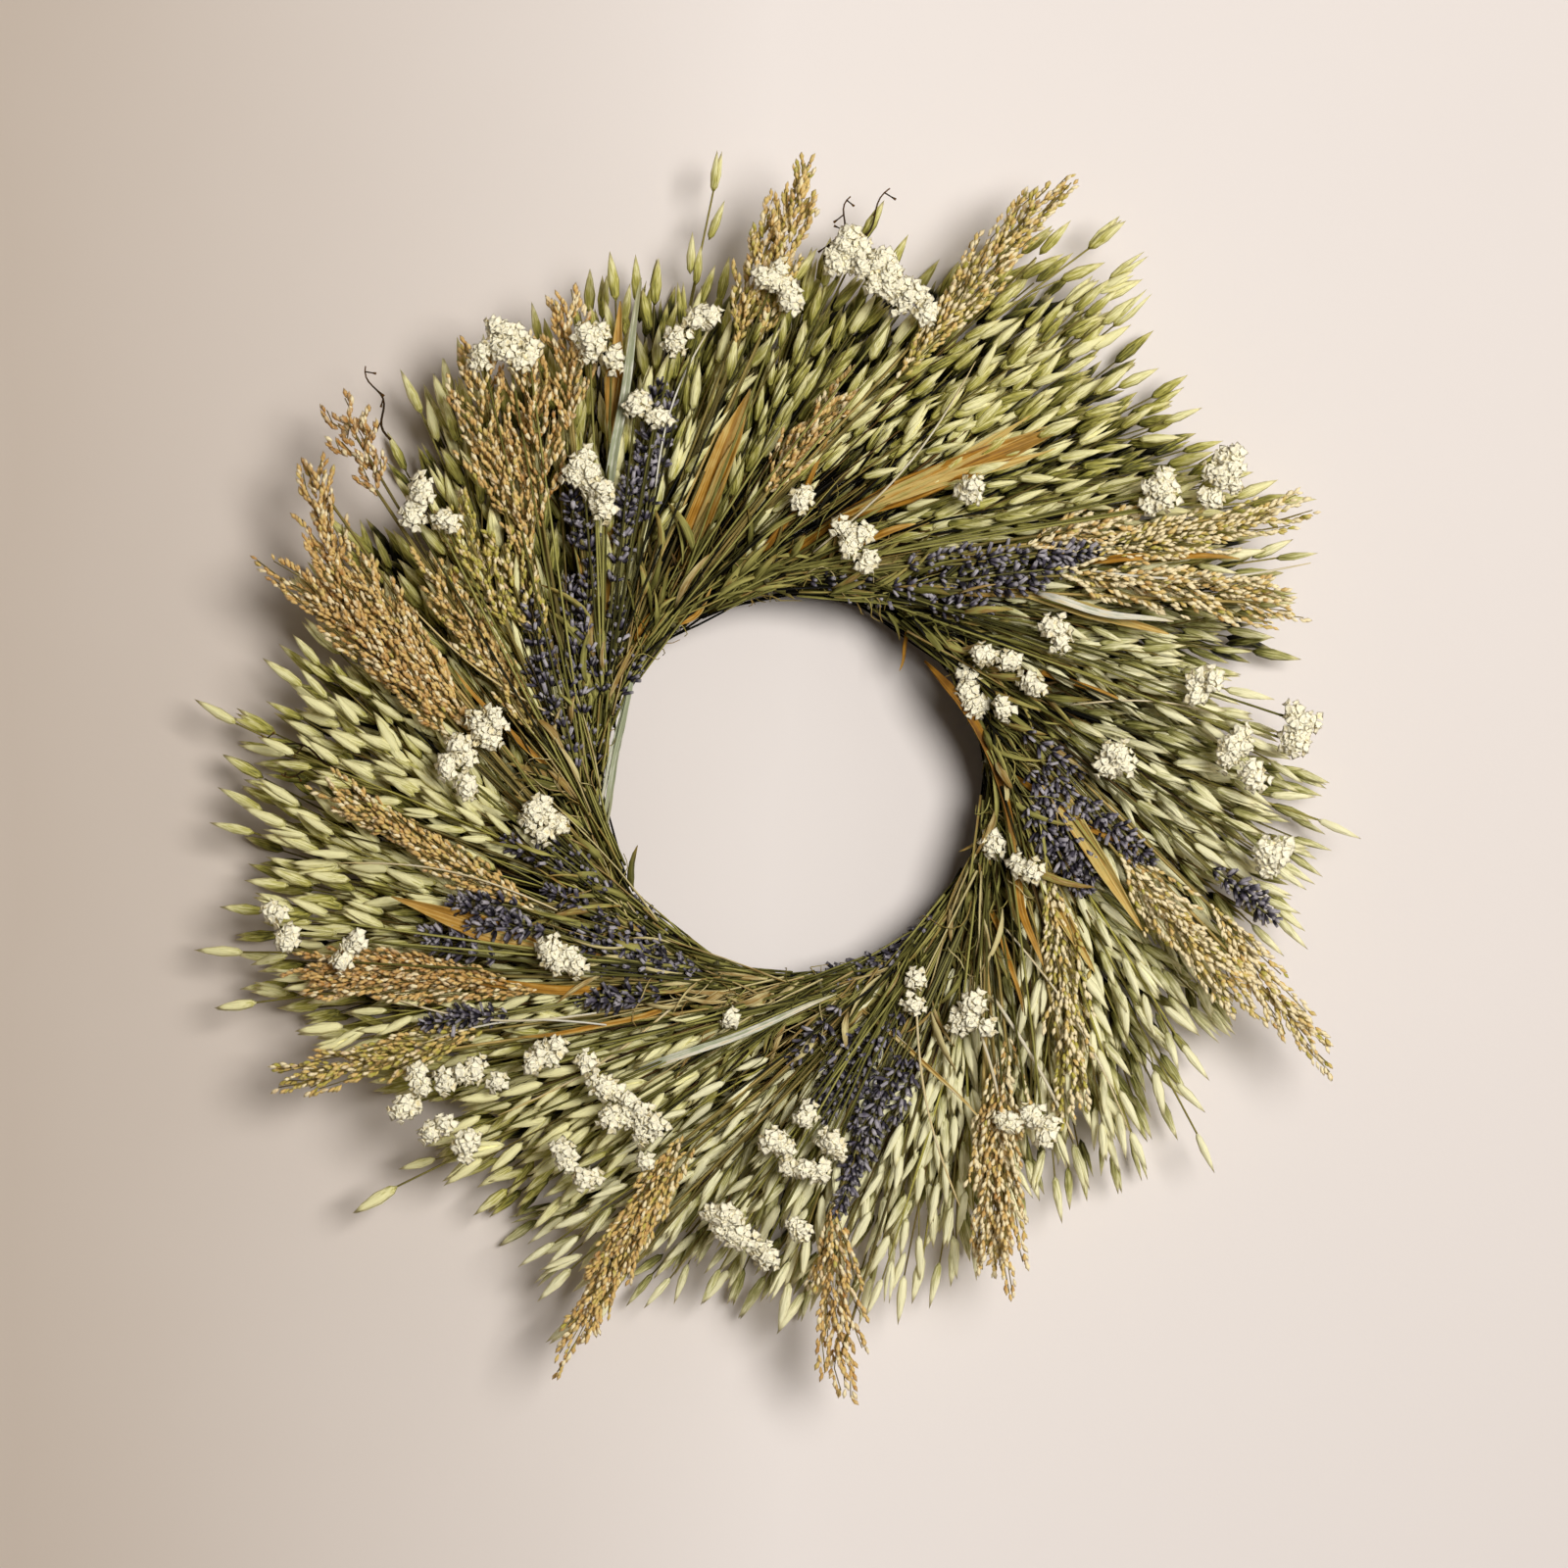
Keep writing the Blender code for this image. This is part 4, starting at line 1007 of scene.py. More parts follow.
def grow_millet_head(growth, draw, base, tip, half, hue, shape):
    """One millet head: drooping branchlets set with grains, round a gently bent stem."""
    length = np.linalg.norm(tip - base)
    ahead = (tip - base) / length
    across = left_of(ahead)
    rise = np.cross(ahead, across)
    bend = draw.uniform(-0.05, 0.05) * length
    branches = int(length * BRANCHLETS_PER_MM)
    count = (branches, GRAINS)
    starts = np.linspace(-0.08, 0.74, branches)[:, None]
    around = (np.arange(branches) * GOLDEN_TURN + draw.uniform(-0.4, 0.4, branches))[:, None]
    reach = draw.uniform(0.22, 0.44, branches)[:, None] * (1 - 0.4 * starts)
    steps = np.linspace(0.06, 1, GRAINS)[None] + draw.uniform(-0.03, 0.03, count)
    share = starts + reach * steps
    swell = np.interp(share, *HEAD_SWELL)
    bulge = half * swell * np.clip(steps, 0, 1) ** 0.6 * draw.uniform(0.55, 1.2, (branches, 1))
    sway = around + 0.5 * np.sin(steps * 3 + around * 5)
    out = across * np.cos(sway)[..., None] + rise * (np.sin(sway) * FLATNESS)[..., None]

    def spine(shares):
        shares = shares[..., None]
        return base + ahead * shares * length + across * bend * np.sin(math.pi * np.clip(shares, 0, 1))

    places = spine(share) + out * bulge[..., None] + draw.normal(0, 0.3, (*count, 3))
    leans = draw.uniform(0.05, 0.55, (*count, 1))
    runs = ahead + unit(out) * leans + draw.normal(0, 0.16, places.shape)
    # Grains to the east, where the key light stands, are painted lighter, and random grains are painted
    # cream as highlights, more of them to the east.
    lit_east_share = np.clip(base[0] / 150, 0, 1)
    tones = np.clip(0.7 * hue + draw.normal(0, 0.12, count), 0, 0.78)
    bright = draw.uniform(0, 1, count) < mixed(0.24, 0.64, lit_east_share)
    tones = np.where(bright, draw.uniform(0.84, 1.1, count) + 0.1 * lit_east_share, tones)
    scales = draw.uniform(0.75, 1.1, count)
    growth.copies(shape, places, runs, draw.uniform(0, 6, count), scales, tones)
    knots = (0, GRAINS // 2, GRAINS - 1)
    twigs = spine(share[:, knots]) + out[:, knots] * (bulge[:, knots] * 0.85)[..., None]
    growth.tubes(twigs, 0.38, 3, 0.5, 1)


def grow_millet(index, look, finishes):
    """The millet heads of one bundle, on their stems."""
    draw, growth = new_growth("millet", index)
    shape = sized_seed(GRAIN, look.grain_length, look.grain_width)
    bases = []
    for x, y, length, width, turn, hue in rows_of(MILLET, index):
        middle = floor_point(x, y)
        heading = clockwise(root_of(middle) + math.radians(turn))
        half = width / 2
        ends = np.stack((middle - heading * length / 2, middle + heading * length / 2))
        seat = MILLET_CLEARANCE + half * FLATNESS * MILLET_SEAT
        base, tip = raised(ends, bed_top(along_of(ends)) + seat)
        grow_millet_head(growth, draw, base, tip, half * 1.5, hue, shape)
        bases += [base, base, mixed(base, tip, 0.8)]
    build_sprigs(growth, draw, "millet", index, bases, finishes)


def grow_lavender_head(growth, draw, base, ahead, size, shape):
    """One lavender head: whorls of small calyces that lean out round a stem."""
    across = left_of(ahead)
    count = (len(WHORLS), CALYCES)
    around = np.arange(CALYCES)[None] * math.tau / CALYCES + draw.uniform(0, 1, (len(WHORLS), 1))
    out = across * np.cos(around)[..., None] + UP * np.sin(around)[..., None]
    slip = WHORLS + draw.uniform(-0.025, 0.025, count)
    places = base + ahead * (slip * size)[..., None] + out * 0.7
    lean = np.radians(draw.uniform(28, 74, count) * WHORL_SIZE)[..., None]
    runs = ahead * np.cos(lean) + out * np.sin(lean)
    scales = draw.uniform(0.75, 1.1, count) * WHORL_SIZE
    tones = draw.uniform(0, 1, count) ** 1.5
    growth.copies(shape, places, runs, draw.uniform(0, 6, count), scales, tones)
    growth.tubes(np.stack((base, base + ahead * size * 0.93)), 0.6, 4, 0.4, 1)


def grow_lavender(index, look, finishes):
    """The lavender heads of one bundle on their thin stems, some of them doubled."""
    rows = rows_of(LAVENDER, index)
    if not rows:
        return
    draw, growth = new_growth("lavender", index)
    shape = sized_seed(CALYX, look.calyx_length, look.calyx_width)
    bases = []
    for x, y in rows:
        for twin in range(2 if draw.uniform() < 0.3 else 1):
            middle = floor_point(x, y) + (*draw.uniform(-9, 9, 2) * twin, 0)
            ahead = clockwise(root_of(middle) + math.radians(draw.uniform(-9, 9)))
            drop = draw.uniform(0, 6) * twin
            middle = raised(middle, layer_height("lavender", along_of(middle)) - drop)
            size = look.head_length / MM * draw.uniform(0.8, 1.08)
            base = middle - ahead * size / 2
            grow_lavender_head(growth, draw, base, ahead, size, shape)
            bases.append(base)
    build_sprigs(growth, draw, "lavender", index, bases, finishes)


def floret_shape(width):
    """A papery floret: a funnel that opens to a frilled, folded rim round a hollow."""
    sides = 6
    points = [(0, 0, 0)]
    for x, reach, frill, lift in FLORET:
        for number in range(sides):
            angle = number * math.tau / sides
            fold = 1 if number % 2 else -1
            radius = reach * (1 + frill * fold)
            points.append((x + lift * fold, math.cos(angle) * radius, math.sin(angle) * radius))
    points.append((0.45, 0, 0))
    shape = Shape(points, *sleeve_faces(len(FLORET), sides))
    shape.points *= width / 2
    return shape


def grow_clump(growth, draw, centre, radius, shape):
    """A clump of florets that face up and outward."""
    count = int(radius * FLORETS_PER_MM)
    rank = (np.arange(count) + 0.5) / count
    around = np.arange(count) * GOLDEN_TURN + draw.uniform(0, math.tau)
    steep = rank * math.radians(86)
    out = np.stack((np.cos(around) * np.sin(steep), np.sin(around) * np.sin(steep), np.cos(steep)), -1)
    flat = out * (radius, radius, radius * 0.75)
    places = centre + flat * draw.uniform(0.7, 1.0, (count, 1))
    runs = out + (0, 0, 0.35) + draw.normal(0, 0.22, (count, 3))
    places = places - unit(runs) * 1.2
    # Florets low on the clump's sides are painted darker and creamier, as painted shade.
    tones = 0.78 - 0.42 * rank + draw.uniform(-0.24, 0.24, count)
    growth.copies(shape, places, runs, draw.uniform(0, 6, count), draw.uniform(0.7, 1.2, count), tones)
    feet = np.broadcast_to(centre - (0, 0, radius * 0.8), places.shape)
    growth.tubes(np.stack((feet, places), 1), (1.0, 1.3), 3, 0.25)


def grow_statice(index, look, finishes):
    """The statice of one bundle: mounds of papery florets on branched stems."""
    draw, growth = new_growth("statice", index)
    shape = floret_shape(look.floret / MM)
    bases = []
    for x, y, radius in rows_of(STATICE, index):
        middle = floor_point(x, y)
        heading = clockwise(root_of(middle))
        lift = min(radius + 3, 14) * FLATNESS * STATICE_SEAT
        middle = raised(middle, layer_height("statice", along_of(middle)) + lift)
        base = middle - heading * radius - (0, 0, lift * 0.6)
        clumps = max(1, round(radius**2 / CLUMP_AREA))
        rank = np.arange(clumps)
        around = rank * GOLDEN_TURN + draw.uniform(0, math.tau)
        spread = radius * 0.66 * np.sqrt(rank / max(clumps - 0.5, 1))
        centres = middle + outward(around) * spread[:, None]
        centres[:, 2] += draw.uniform(-3.5, 1.5, clumps)
        for centre in centres:
            grow_clump(growth, draw, centre, draw.uniform(4.8, 7.0), shape)
        joint = mixed(base, middle, 0.35) - (0, 0, 2)
        forks = np.stack((np.broadcast_to(base, centres.shape), np.broadcast_to(joint, centres.shape),
                          centres - (0, 0, 3.5)), 1)
        growth.tubes(forks, 0.7, 4, 0.5, 1)
        bases.append(base)
    build_sprigs(growth, draw, "statice", index, bases, finishes, smooth=False)


def tear_strips(growth, draw, number, path, widths, curl, after, thickness):
    """Narrower strips torn off beside a blade, each one farther out and a little higher."""
    x, y, far_x, far_y, width, hue, strips, _ = BLADES[number]
    aside = left_of((far_x - x, far_y - y, 0))
    for strip in range(strips):
        side = 1 if (number + strip) % 2 else -1
        wander = 1.4 * np.sin(BLADE_SHARE * 11 + strip * 2)
        shift = side * width * (0.4 + 0.28 * strip) * after**0.7 + wander
        slip = path + aside * (shift * after)[:, None]
        slip[:, 2] += (1.2 + 0.7 * strip) * after - 0.5
        kept = int(len(slip) * draw.uniform(0.8, 1.0))
        taper = np.interp(np.linspace(0, 1, kept), (0.85, 1), (1, 0.15))
        narrow = widths[:kept] * draw.uniform(0.32, 0.5) * taper
        tone = np.clip(hue + draw.uniform(0.1, 0.4) + 0.12 * strip, 0, 1)
        growth.strips(slip[:kept], narrow, UP, curl[:kept] * 1.4, thickness, 5, tone)


def grow_blade(number, look, finishes):
    """One dried corn blade: a curled, waved strip with narrower torn strips beside it."""
    draw, growth = new_growth("corn_blades", number)
    x, y, far_x, far_y, width, hue, _, lift = BLADES[number]
    near, far = floor_point(x, y), floor_point(far_x, far_y)
    start = on_swirl(bundle_root(bundle_of(x, y)), BLADE_START, GRIP_MIDDLE)
    lead, stretch = np.linalg.norm(near - start), np.linalg.norm(far - near)
    turn = lead / (lead + stretch)
    before = np.clip(BLADE_SHARE / turn, 0, 1)
    after = np.clip((BLADE_SHARE - turn) / (1 - turn), 0, 1)
    plan = mixed(start, near, before[:, None]) + (far - near) * after[:, None]
    height = layer_height("corn_blades", np.maximum(along_of(plan), BLADE_START))
    ripple = np.sin(BLADE_SHARE * 19 + number) * after
    path = raised(plan, height + lift * after + ripple * 1.3)
    places = (0, turn, turn + 0.2, 0.8, 0.97, 1)
    widths = np.interp(BLADE_SHARE, places, (3.6, 4.4, width, width * 0.8, 2.2, 0.6))
    curl = np.interp(BLADE_SHARE, (0, turn, 0.6, 1), (0.1, 0.14, 0.3, 0.5)) + 0.07 * ripple
    lean = UP + (0.25 * math.sin(number), 0.2 * math.cos(number), 0)
    thickness = look.thickness / MM
    growth.strips(path, widths, lean, curl, thickness, 9, hue)
    tear_strips(growth, draw, number, path, widths, curl, after, thickness)
    name = numbered(number)
    growth.build(f"corn_husk_{name}", finishes, "corn_blades", (f"corn_blade_{name}",))


def grow_edge_stems(growth, draw, root, count):
    """Thin stems along the inner edge of a bundle, many of them painted dark as shade, the others painted
    lighter the higher they lie.
    """
    share = np.linspace(0, 1, 7)[None]
    roots = sector_roots(draw, root, (count, 1))
    along = draw.uniform(-30, 40, (count, 1)) + draw.uniform(40, 125, (count, 1)) * share
    aside = draw.uniform(-5, 7, (count, 1)) + draw.uniform(-3, 14, (count, 1)) * share
    aside = aside + draw.uniform(-3, 3, (count, 1)) * np.sin(share * math.pi * 1.5)
    level = draw.uniform(0.3, 1.4, (count, 1))
    height = np.maximum(bed_top(np.abs(along)) * mixed(level, np.minimum(level, 1.12), share), 5)
    paths = raised(on_swirl(roots, along, aside), height)
    shaded = draw.uniform(0, 1, count) < 0.4
    lit = 1.1 * (level[:, 0] - 0.7) + draw.uniform(-0.2, 0.3, count)
    tones = np.where(shaded, 0.05, lit) + 0.45 * painted_light_side(paths[:, 0])
    growth.tubes(paths, (0.8, 0.45), 3, tones)


def grow_cover_stems(growth, draw, root, count):
    """Stems that pass over the wire of the clamp and hide most of it."""
    share = np.linspace(0, 1, 9)[None]
    along = draw.uniform(-16, 2, (count, 1)) + draw.uniform(52, 90, (count, 1)) * share
    aside = np.linspace(-5.5, 8.5, count)[:, None] + draw.uniform(-4, 6, (count, 1)) * share
    over = CLAMP_TOP + draw.uniform(1.8, 6, (count, 1)) - 0.4 * np.abs(along - CLAMP_ALONG)
    height = np.maximum(bed_top(np.abs(along)) + draw.uniform(0, 4, (count, 1)), over)
    paths = raised(on_swirl(root, along, aside), height)
    growth.tubes(paths, (0.9, 0.5), 3, draw.uniform(0.1, 0.75, count))


def grow_leaves(growth, draw, root, count, width):
    """Short curled leaves near the inner edge, painted lighter the higher they lie as painted light and
    shade.
    """
    share = np.linspace(0, 1, 7)[None]
    start = draw.uniform(-12, 84, count)
    roots = sector_roots(draw, root, count)
    foot = on_swirl(roots, start, draw.uniform(-2, 9, count))
    heading = clockwise(root_of(foot) + np.radians(draw.uniform(-16, 34, count)))[:, None]
    length = draw.uniform(11, 34, (count, 1, 1))
    sweep = draw.uniform(-0.5, 0.5, (count, 1, 1))
    s = share[..., None]
    plan = foot[:, None] + heading * length * s + left_of(heading) * length * sweep * s**2
    lift = draw.uniform(-8, 12, (count, 1))
    arch = np.sin(share * math.pi) * draw.uniform(-2, 6, (count, 1))
    outline = np.interp(share, (0, 0.35, 0.8, 1), (0.22, 1.0, 0.6, 0.1))
    widths = width * outline * draw.uniform(0.5, 1.9, (count, 1))
    lean = UP + draw.uniform(-0.7, 0.7, (count, 1, 3)) * (1, 1, 0)
    tones = 0.28 + 0.04 * lift[:, 0] + draw.uniform(-0.3, 0.35, count) + 0.45 * painted_light_side(foot)
    curl = draw.uniform(-0.3, 0.4, (count, 1))
    paths = raised(plan, bed_top(along_of(plan)) + lift + arch)
    growth.strips(paths, widths, lean, curl, 0.35, 2, tones)


def grow_wisps(growth, draw, root, count):
    """Hair-thin curled ends that stand up out of the inner edge."""
    share = np.linspace(0, 1, 10)[None]
    roots = sector_roots(draw, root, count)
    foot = on_swirl(roots, draw.uniform(-14, 60, count), draw.uniform(-1, 6, count))
    heading = root_of(foot)[:, None] - math.pi / 2 + draw.uniform(-0.5, 0.5, (count, 1))
    bends = heading + draw.uniform(-2.4, 2.4, (count, 1)) * share + 0.5 * np.sin(share * 7)
    step = draw.uniform(16, 44, (count, 1, 1)) / 9
    plan = foot[:, None] + np.cumsum(outward(bends) * step, 1)
    reach = np.linalg.norm(plan[..., :2], axis=-1, keepdims=True)
    plan = plan * np.maximum(1, OPEN_HOLE / reach)
    height = bed_top(along_of(plan)) + draw.uniform(2, 12, (count, 1)) + 2 * np.sin(share * 5)
    growth.tubes(raised(plan, height), (0.5, 0.25), 3, draw.uniform(0.2, 1.0, count))


def grow_greens(index, look, finishes):
    """Loose greens round the inner edge of one bundle."""
    draw, growth = new_growth("loose_greens", index)
    root = bundle_root(index)
    grow_edge_stems(growth, draw, root, look.edge_stems)
    grow_cover_stems(growth, draw, root, look.cover_stems)
    grow_leaves(growth, draw, root, look.leaves, look.leaf_width / MM)
    grow_wisps(growth, draw, root, look.wisps)
    growth.build(f"loose_greens_{numbered(index)}", finishes, "oats")


def bowed(x, y, far_x, far_y, bow):
    """A level path between two places, moved sideways by the bow at each of its knots."""
    near, far = floor_point(x, y), floor_point(far_x, far_y)
    return mixed(near, far, LOOSE_SHARE[:, None]) + left_of(far - near) * bow[:, None]


def lay_straps(growth, draw):
    """Flat straps of leaf."""
    share = LOOSE_SHARE
    for x, y, far_x, far_y, width, bow, hue, lift in STRAPS:
        plan = bowed(x, y, far_x, far_y, bow * np.sin(share * math.pi) + 0.5 * np.sin(share * 9))
        rise = lift * np.minimum(1, 4 * share + 0.3) + 0.8 * np.sin(share * 11)
        path = raised(plan, bed_top(along_of(plan)) + rise)
        widths = width * np.interp(share, (0, 0.12, 0.6, 0.9, 1), (0.2, 1.0, 0.9, 0.5, 0.1))
        lean = UP + (*draw.uniform(-0.5, 0.5, 2), 0)
        curl = 0.25 + 0.15 * np.sin(share * 7 + x)
        growth.strips(path, widths, lean, curl, 0.5, 5, hue, STRAP)


def lay_straws(growth, draw):
    """Long round straws."""
    share = LOOSE_SHARE
    for x, y, far_x, far_y, radius, bow in STRAWS:
        plan = bowed(x, y, far_x, far_y, bow * np.sin(share * math.pi))
        height = bed_top(along_of(plan)) + 9 + draw.uniform(-1, 2) + np.sin(share * 6)
        radii = radius * np.interp(share, (0, 0.1, 0.85, 1), (0.8, 1.0, 0.9, 0.4))
        growth.tubes(raised(plan, height), radii, 5, draw.uniform(0.5, 1.0), STRAW)


def grow_twigs(growth, draw):
    """Short dark twigs with small forks."""
    for x, y, far_x, far_y in TWIGS:
        plan = bowed(x, y, far_x, far_y, 2.5 * np.sin(LOOSE_SHARE * 9))
        path = raised(plan, bed_top(along_of(plan)) * 0.8 + np.sin(LOOSE_SHARE * 7))
        growth.tubes(path, (0.7, 0.35), 4, TWIG_TONE, TWIG)
        for knot in TWIG_FORKS:
            off = np.array((*draw.uniform(-6, 6, 2), draw.uniform(0, 3)))
            fork = path[knot] + np.outer((0, 0.6, 1), off)
            growth.tubes(fork, np.array((0.4, 0.35, 0.7)), 4, TWIG_TONE, TWIG)


def settings():
    return bpy.context.scene.oat_wreath


class Grower:
    """What the operators of the plants share: their finishes, then their pieces one by one."""
    pieces = BUNDLES

    def execute(self, context):
        look = getattr(settings(), self.group)
        finishes = self.finishes(look)
        for index in range(self.pieces):
            self.grow(index, look, finishes)
        return {"FINISHED"}


class WREATH_OT_oats(Grower, Operator):
    """Grow the twelve sheaves of oats"""
    bl_idname = "wreath.oats"
    bl_label = "Oats"
    group = "oats"
    grow = staticmethod(grow_sheaf)

    def finishes(self, look):
        kinds = (("oat_husk", look.husk, look.pale), ("bleached_oat_husk", look.bleached, look.cream))
        # The husks are painted darker towards the base, partly their greener colour and partly painted
        # shade under the next husk's tip.
        husks = [plant_finish(
            name, ((0.0, look.dark), (0.26, look.shade), (0.54, husk), (0.92, pale)), look.tip, (0.05, 1.3),
            streaks=0.36, blotches=0.2, lengthwise=0.52, tip_from=0.72, tip_share=0.75, roughness=0.5,
            bump=0.5) for name, husk, pale in kinds]
        # Stems run from painted shade in the depth, the dark, to painted light on high stems, the husk
        # colour.
        stem_shades = ((0.1, look.dark), (0.42, look.brown), (0.62, look.stem), (1.0, look.husk))
        return *husks, plant_finish("oat_stem", stem_shades, look.stem, STEM_FIBRES)


class WREATH_OT_millet(Grower, Operator):
    """Grow the millet heads"""
    bl_idname = "wreath.millet"
    bl_label = "Millet"
    group = "millet"
    grow = staticmethod(grow_millet)

    def finishes(self, look):
        stops = ((0.0, look.green), (0.3, look.gold), (0.72, look.rust), (0.95, look.cream))
        # The cream tip of each grain is partly its paler tip and partly a painted highlight.
        grain = plant_finish(
            "millet_grain", stops, look.cream, (0.3, 0.8), streaks=0.12, blotches=0.1, tip_from=0.45,
            tip_share=0.45, roughness=0.45)
        stem_shades = ((0.0, settings().greens.dark), (0.6, look.stem), (1.0, look.gold))
        return grain, plant_finish("millet_stem", stem_shades, look.stem, STEM_FIBRES)


class WREATH_OT_lavender(Grower, Operator):
    """Grow the lavender heads"""
    bl_idname = "wreath.lavender"
    bl_label = "Lavender"
    group = "lavender"
    grow = staticmethod(grow_lavender)

    def finishes(self, look):
        shades = ((0.0, look.dark), (0.55, look.violet), (1.0, look.pale))
        calyx = plant_finish("lavender_calyx", shades, look.pale, (0.1, 2.0), roughness=0.8)
        stem_shades = ((0.0, look.dark), (1.0, settings().greens.pale))
        return calyx, plant_finish("lavender_stem", stem_shades, settings().oats.stem, STEM_FIBRES)


class WREATH_OT_statice(Grower, Operator):
    """Grow the white statice heads"""
    bl_idname = "wreath.statice"
    bl_label = "Statice"
    group = "statice"
    grow = staticmethod(grow_statice)

    def finishes(self, look):
        # The petals are painted darker towards the throat, partly the tan calyx and partly painted shade in
        # the hollow.
        shades = ((0.0, look.shade), (0.42, look.cream), (0.8, look.white))
        petal = plant_finish(
            "statice_petal", shades, look.white, (0.4, 1.4), streaks=0.25, blotches=0.3, lengthwise=0.5,
            tip_share=0.3, roughness=0.8)
        green = settings().greens
        stem_shades = ((0.0, green.dark), (0.6, green.olive), (1.0, green.pale))
        return petal, plant_finish("statice_stem", stem_shades, green.olive, STEM_FIBRES)


class WREATH_OT_blades(Grower, Operator):
    """Lay the dried corn blades"""
    bl_idname = "wreath.blades"
    bl_label = "Corn blades"
    group = "blades"
    pieces = len(BLADES)
    grow = staticmethod(grow_blade)

    def finishes(self, look):
        hues = ((0.0, look.brown), (0.35, look.gold), (0.68, look.straw), (0.92, look.green))
        return (plant_finish(
            "corn_husk", hues, look.straw, (0.012, 0.9), streaks=0.45, roughness=0.5, bump=0.6,
            tip_share=0.3),)


class WREATH_OT_greens(Grower, Operator):
    """Tuck in the loose greens round the inner edge"""
    bl_idname = "wreath.greens"
    bl_label = "Loose greens"
    group = "greens"
    grow = staticmethod(grow_greens)

    def finishes(self, look):
        shades = (
            (0.0, look.dark), (0.35, look.olive), (0.66, look.pale), (0.8, look.brown), (1.0, look.straw))
        return (plant_finish(
            "green_leaf", shades, look.brown, (0.06, 1.2), streaks=0.2, blotches=0.16, tip_from=0.6,
            tip_share=0.5),)


class WREATH_OT_straws(Operator):
    """Lay the loose straws and twigs on top"""
    bl_idname = "wreath.straws"
    bl_label = "Straws"

    def execute(self, context):
        look = settings().blades
        hues = ((0.0, look.gold), (0.4, look.straw), (0.9, look.white))
        straw = plant_finish("pale_straw", hues, look.straw, (0.01, 1.0), roughness=0.4)
        hues = (
            (0.0, look.brown), (0.3, look.gold), (0.55, look.straw), (0.8, look.white), (1.0, look.grey))
        strap = plant_finish(
            "loose_strap", hues, look.straw, (0.012, 0.9), streaks=0.3, tip_share=0.3)
        hues = ((0.0, settings().greens.dark), (1.0, look.brown))
        twig = plant_finish("dark_twig", hues, look.brown, (0.05, 1.0))
        draw, growth = new_growth("loose_straws", 0)
        lay_straps(growth, draw)
        lay_straws(growth, draw)
        grow_twigs(growth, draw)
        growth.build("loose_straws", (straw, twig, strap), "corn_blades")
        return {"FINISHED"}


class WREATH_OT_wire(Operator):
    """Give the clamp ring its dull wire"""
    bl_idname = "wreath.wire"
    bl_label = "Clamp ring"

    def execute(self, context):
        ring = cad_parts["clamp_ring"]
        ring.data.materials.clear()
        ring.data.materials.append(wire_finish(settings().wire))
        return {"FINISHED"}


def add_light(name, place, aim, size, watts, colour):
    lamp = bpy.data.lights.new(name, "AREA")
    lamp.shape = "DISK"
    lamp.size = size
    lamp.energy = watts
    lamp.color = colour
    light = bpy.data.objects.new(name, lamp)
    light.location = place
    light.rotation_euler = (Vector(aim) - Vector(place)).to_track_quat("-Z", "Y").to_euler()
    bpy.context.scene.collection.objects.link(light)


def soft_room(walls, ceiling):
    """Surroundings that are pale near the ground, like the walls of a studio, and dim overhead."""
    world = bpy.data.worlds.new("soft_room")
    world.use_nodes = True
    tree = world.node_tree
    direction = tree.nodes.new("ShaderNodeTexCoord").outputs["Generated"]
    height = add_node(tree, "SeparateXYZ", {0: direction}).outputs["Z"]
    shade = colour_ramp(tree, height, ((0.1, walls), (0.42, ceiling)))
    feed(tree, tree.nodes["Background"], {"Color": shade})
    return world


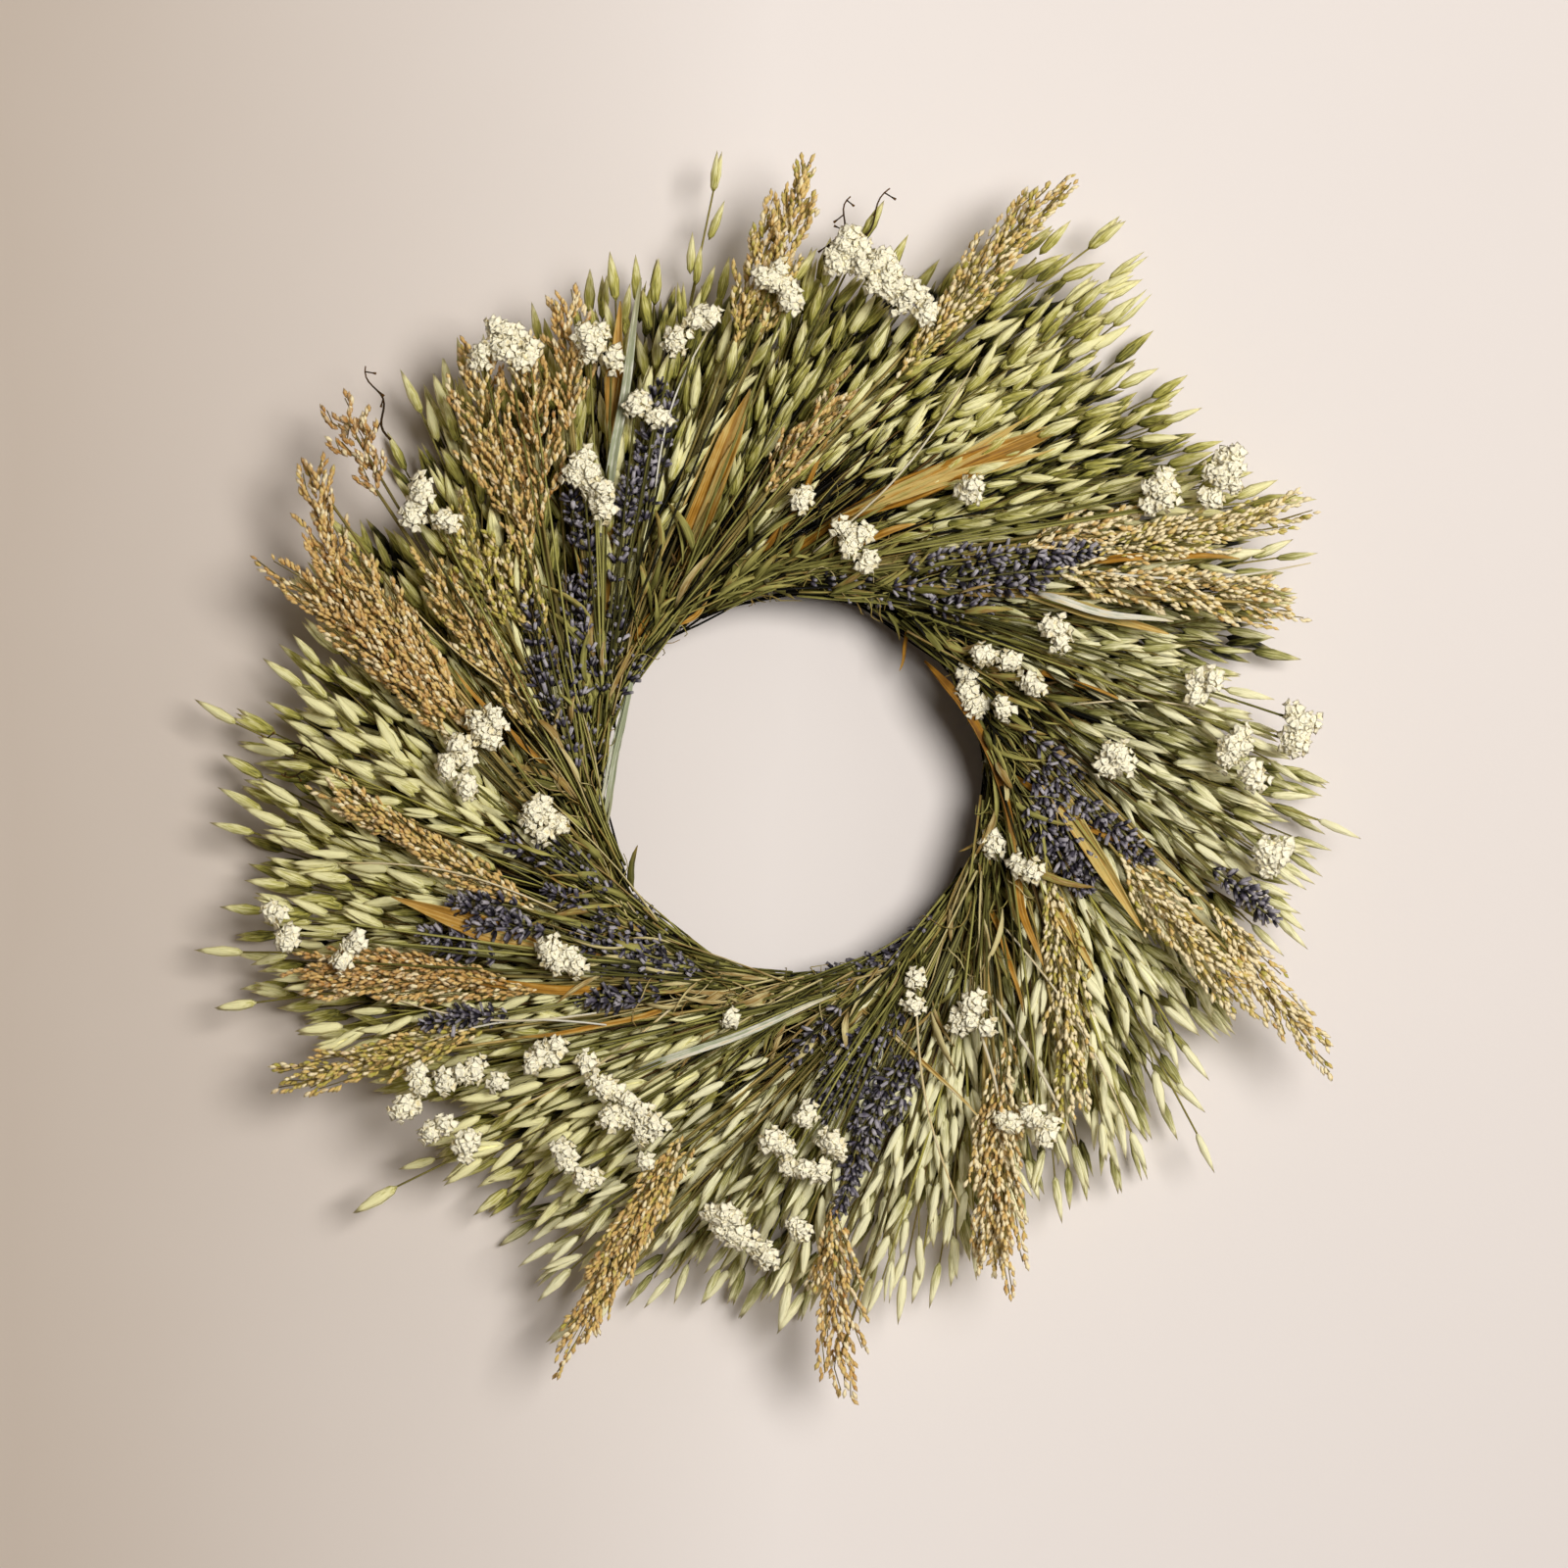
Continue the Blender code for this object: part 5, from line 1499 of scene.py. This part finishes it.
class WREATH_OT_stage(Operator):
    """Set up the floor, the lights and the camera"""
    bl_idname = "wreath.stage"
    bl_label = "Stage"

    def execute(self, context):
        scene = bpy.context.scene
        mesh = bpy.data.meshes.new("floor")
        rim = [(x * FLOOR_REACH, y * FLOOR_REACH, 0) for x, y in circle(FLOOR_SIDES)]
        mesh.from_pydata(rim, [], [range(FLOOR_SIDES)])
        look = settings()
        mesh.materials.append(floor_finish(look.left_floor_painted_shadow, look.floor, look.right_floor_painted_shade))
        floor = bpy.data.objects.new("floor", mesh)
        scene.collection.objects.link(floor)
        for light in LIGHTS:
            add_light(*light)
        scene.world = soft_room(WALLS, CEILING)
        camera = bpy.data.objects.new("camera", bpy.data.cameras.new("camera"))
        camera.data.sensor_width = SENSOR
        camera.data.lens = SENSOR * (CAMERA_HEIGHT - VIEW_LEVEL) / VIEW_WIDTH
        camera.location = (*VIEW_MIDDLE, CAMERA_HEIGHT)
        scene.collection.objects.link(camera)
        scene.camera = camera
        scene.view_settings.view_transform = "Standard"
        return {"FINISHED"}


class VIEW3D_PT_oat_wreath(Panel):
    """Steps and settings of the oat wreath"""
    bl_label = "Oat Wreath"
    bl_idname = "VIEW3D_PT_oat_wreath"
    bl_space_type = "VIEW_3D"
    bl_region_type = "UI"
    bl_category = "Oat Wreath"

    def draw(self, context):
        layout = self.layout
        look = context.scene.oat_wreath
        for operator in STEPS:
            layout.operator(operator.bl_idname)
        for group in (look.oats, look.millet, look.lavender, look.statice, look.blades, look.greens):
            box = layout.box()
            for name in group.__annotations__:
                box.prop(group, name)
        for name in ("wire", "left_floor_painted_shadow", "floor", "right_floor_painted_shade"):
            layout.prop(look, name)


STEPS = (
    WREATH_OT_wire, WREATH_OT_oats, WREATH_OT_blades, WREATH_OT_millet, WREATH_OT_lavender,
    WREATH_OT_statice, WREATH_OT_greens, WREATH_OT_straws, WREATH_OT_stage,
)
CLASSES = (
    OatLook, MilletLook, LavenderLook, StaticeLook, BladeLook, GreensLook, WreathLook, *STEPS,
    VIEW3D_PT_oat_wreath,
)


def register():
    for item in CLASSES:
        bpy.utils.register_class(item)
    bpy.types.Scene.oat_wreath = PointerProperty(type=WreathLook)


def unregister():
    del bpy.types.Scene.oat_wreath
    for item in reversed(CLASSES):
        bpy.utils.unregister_class(item)


def main():
    register()
    for step in STEPS:
        getattr(bpy.ops.wreath, step.bl_idname.split(".")[1])()


if __name__ == "__main__":
    main()
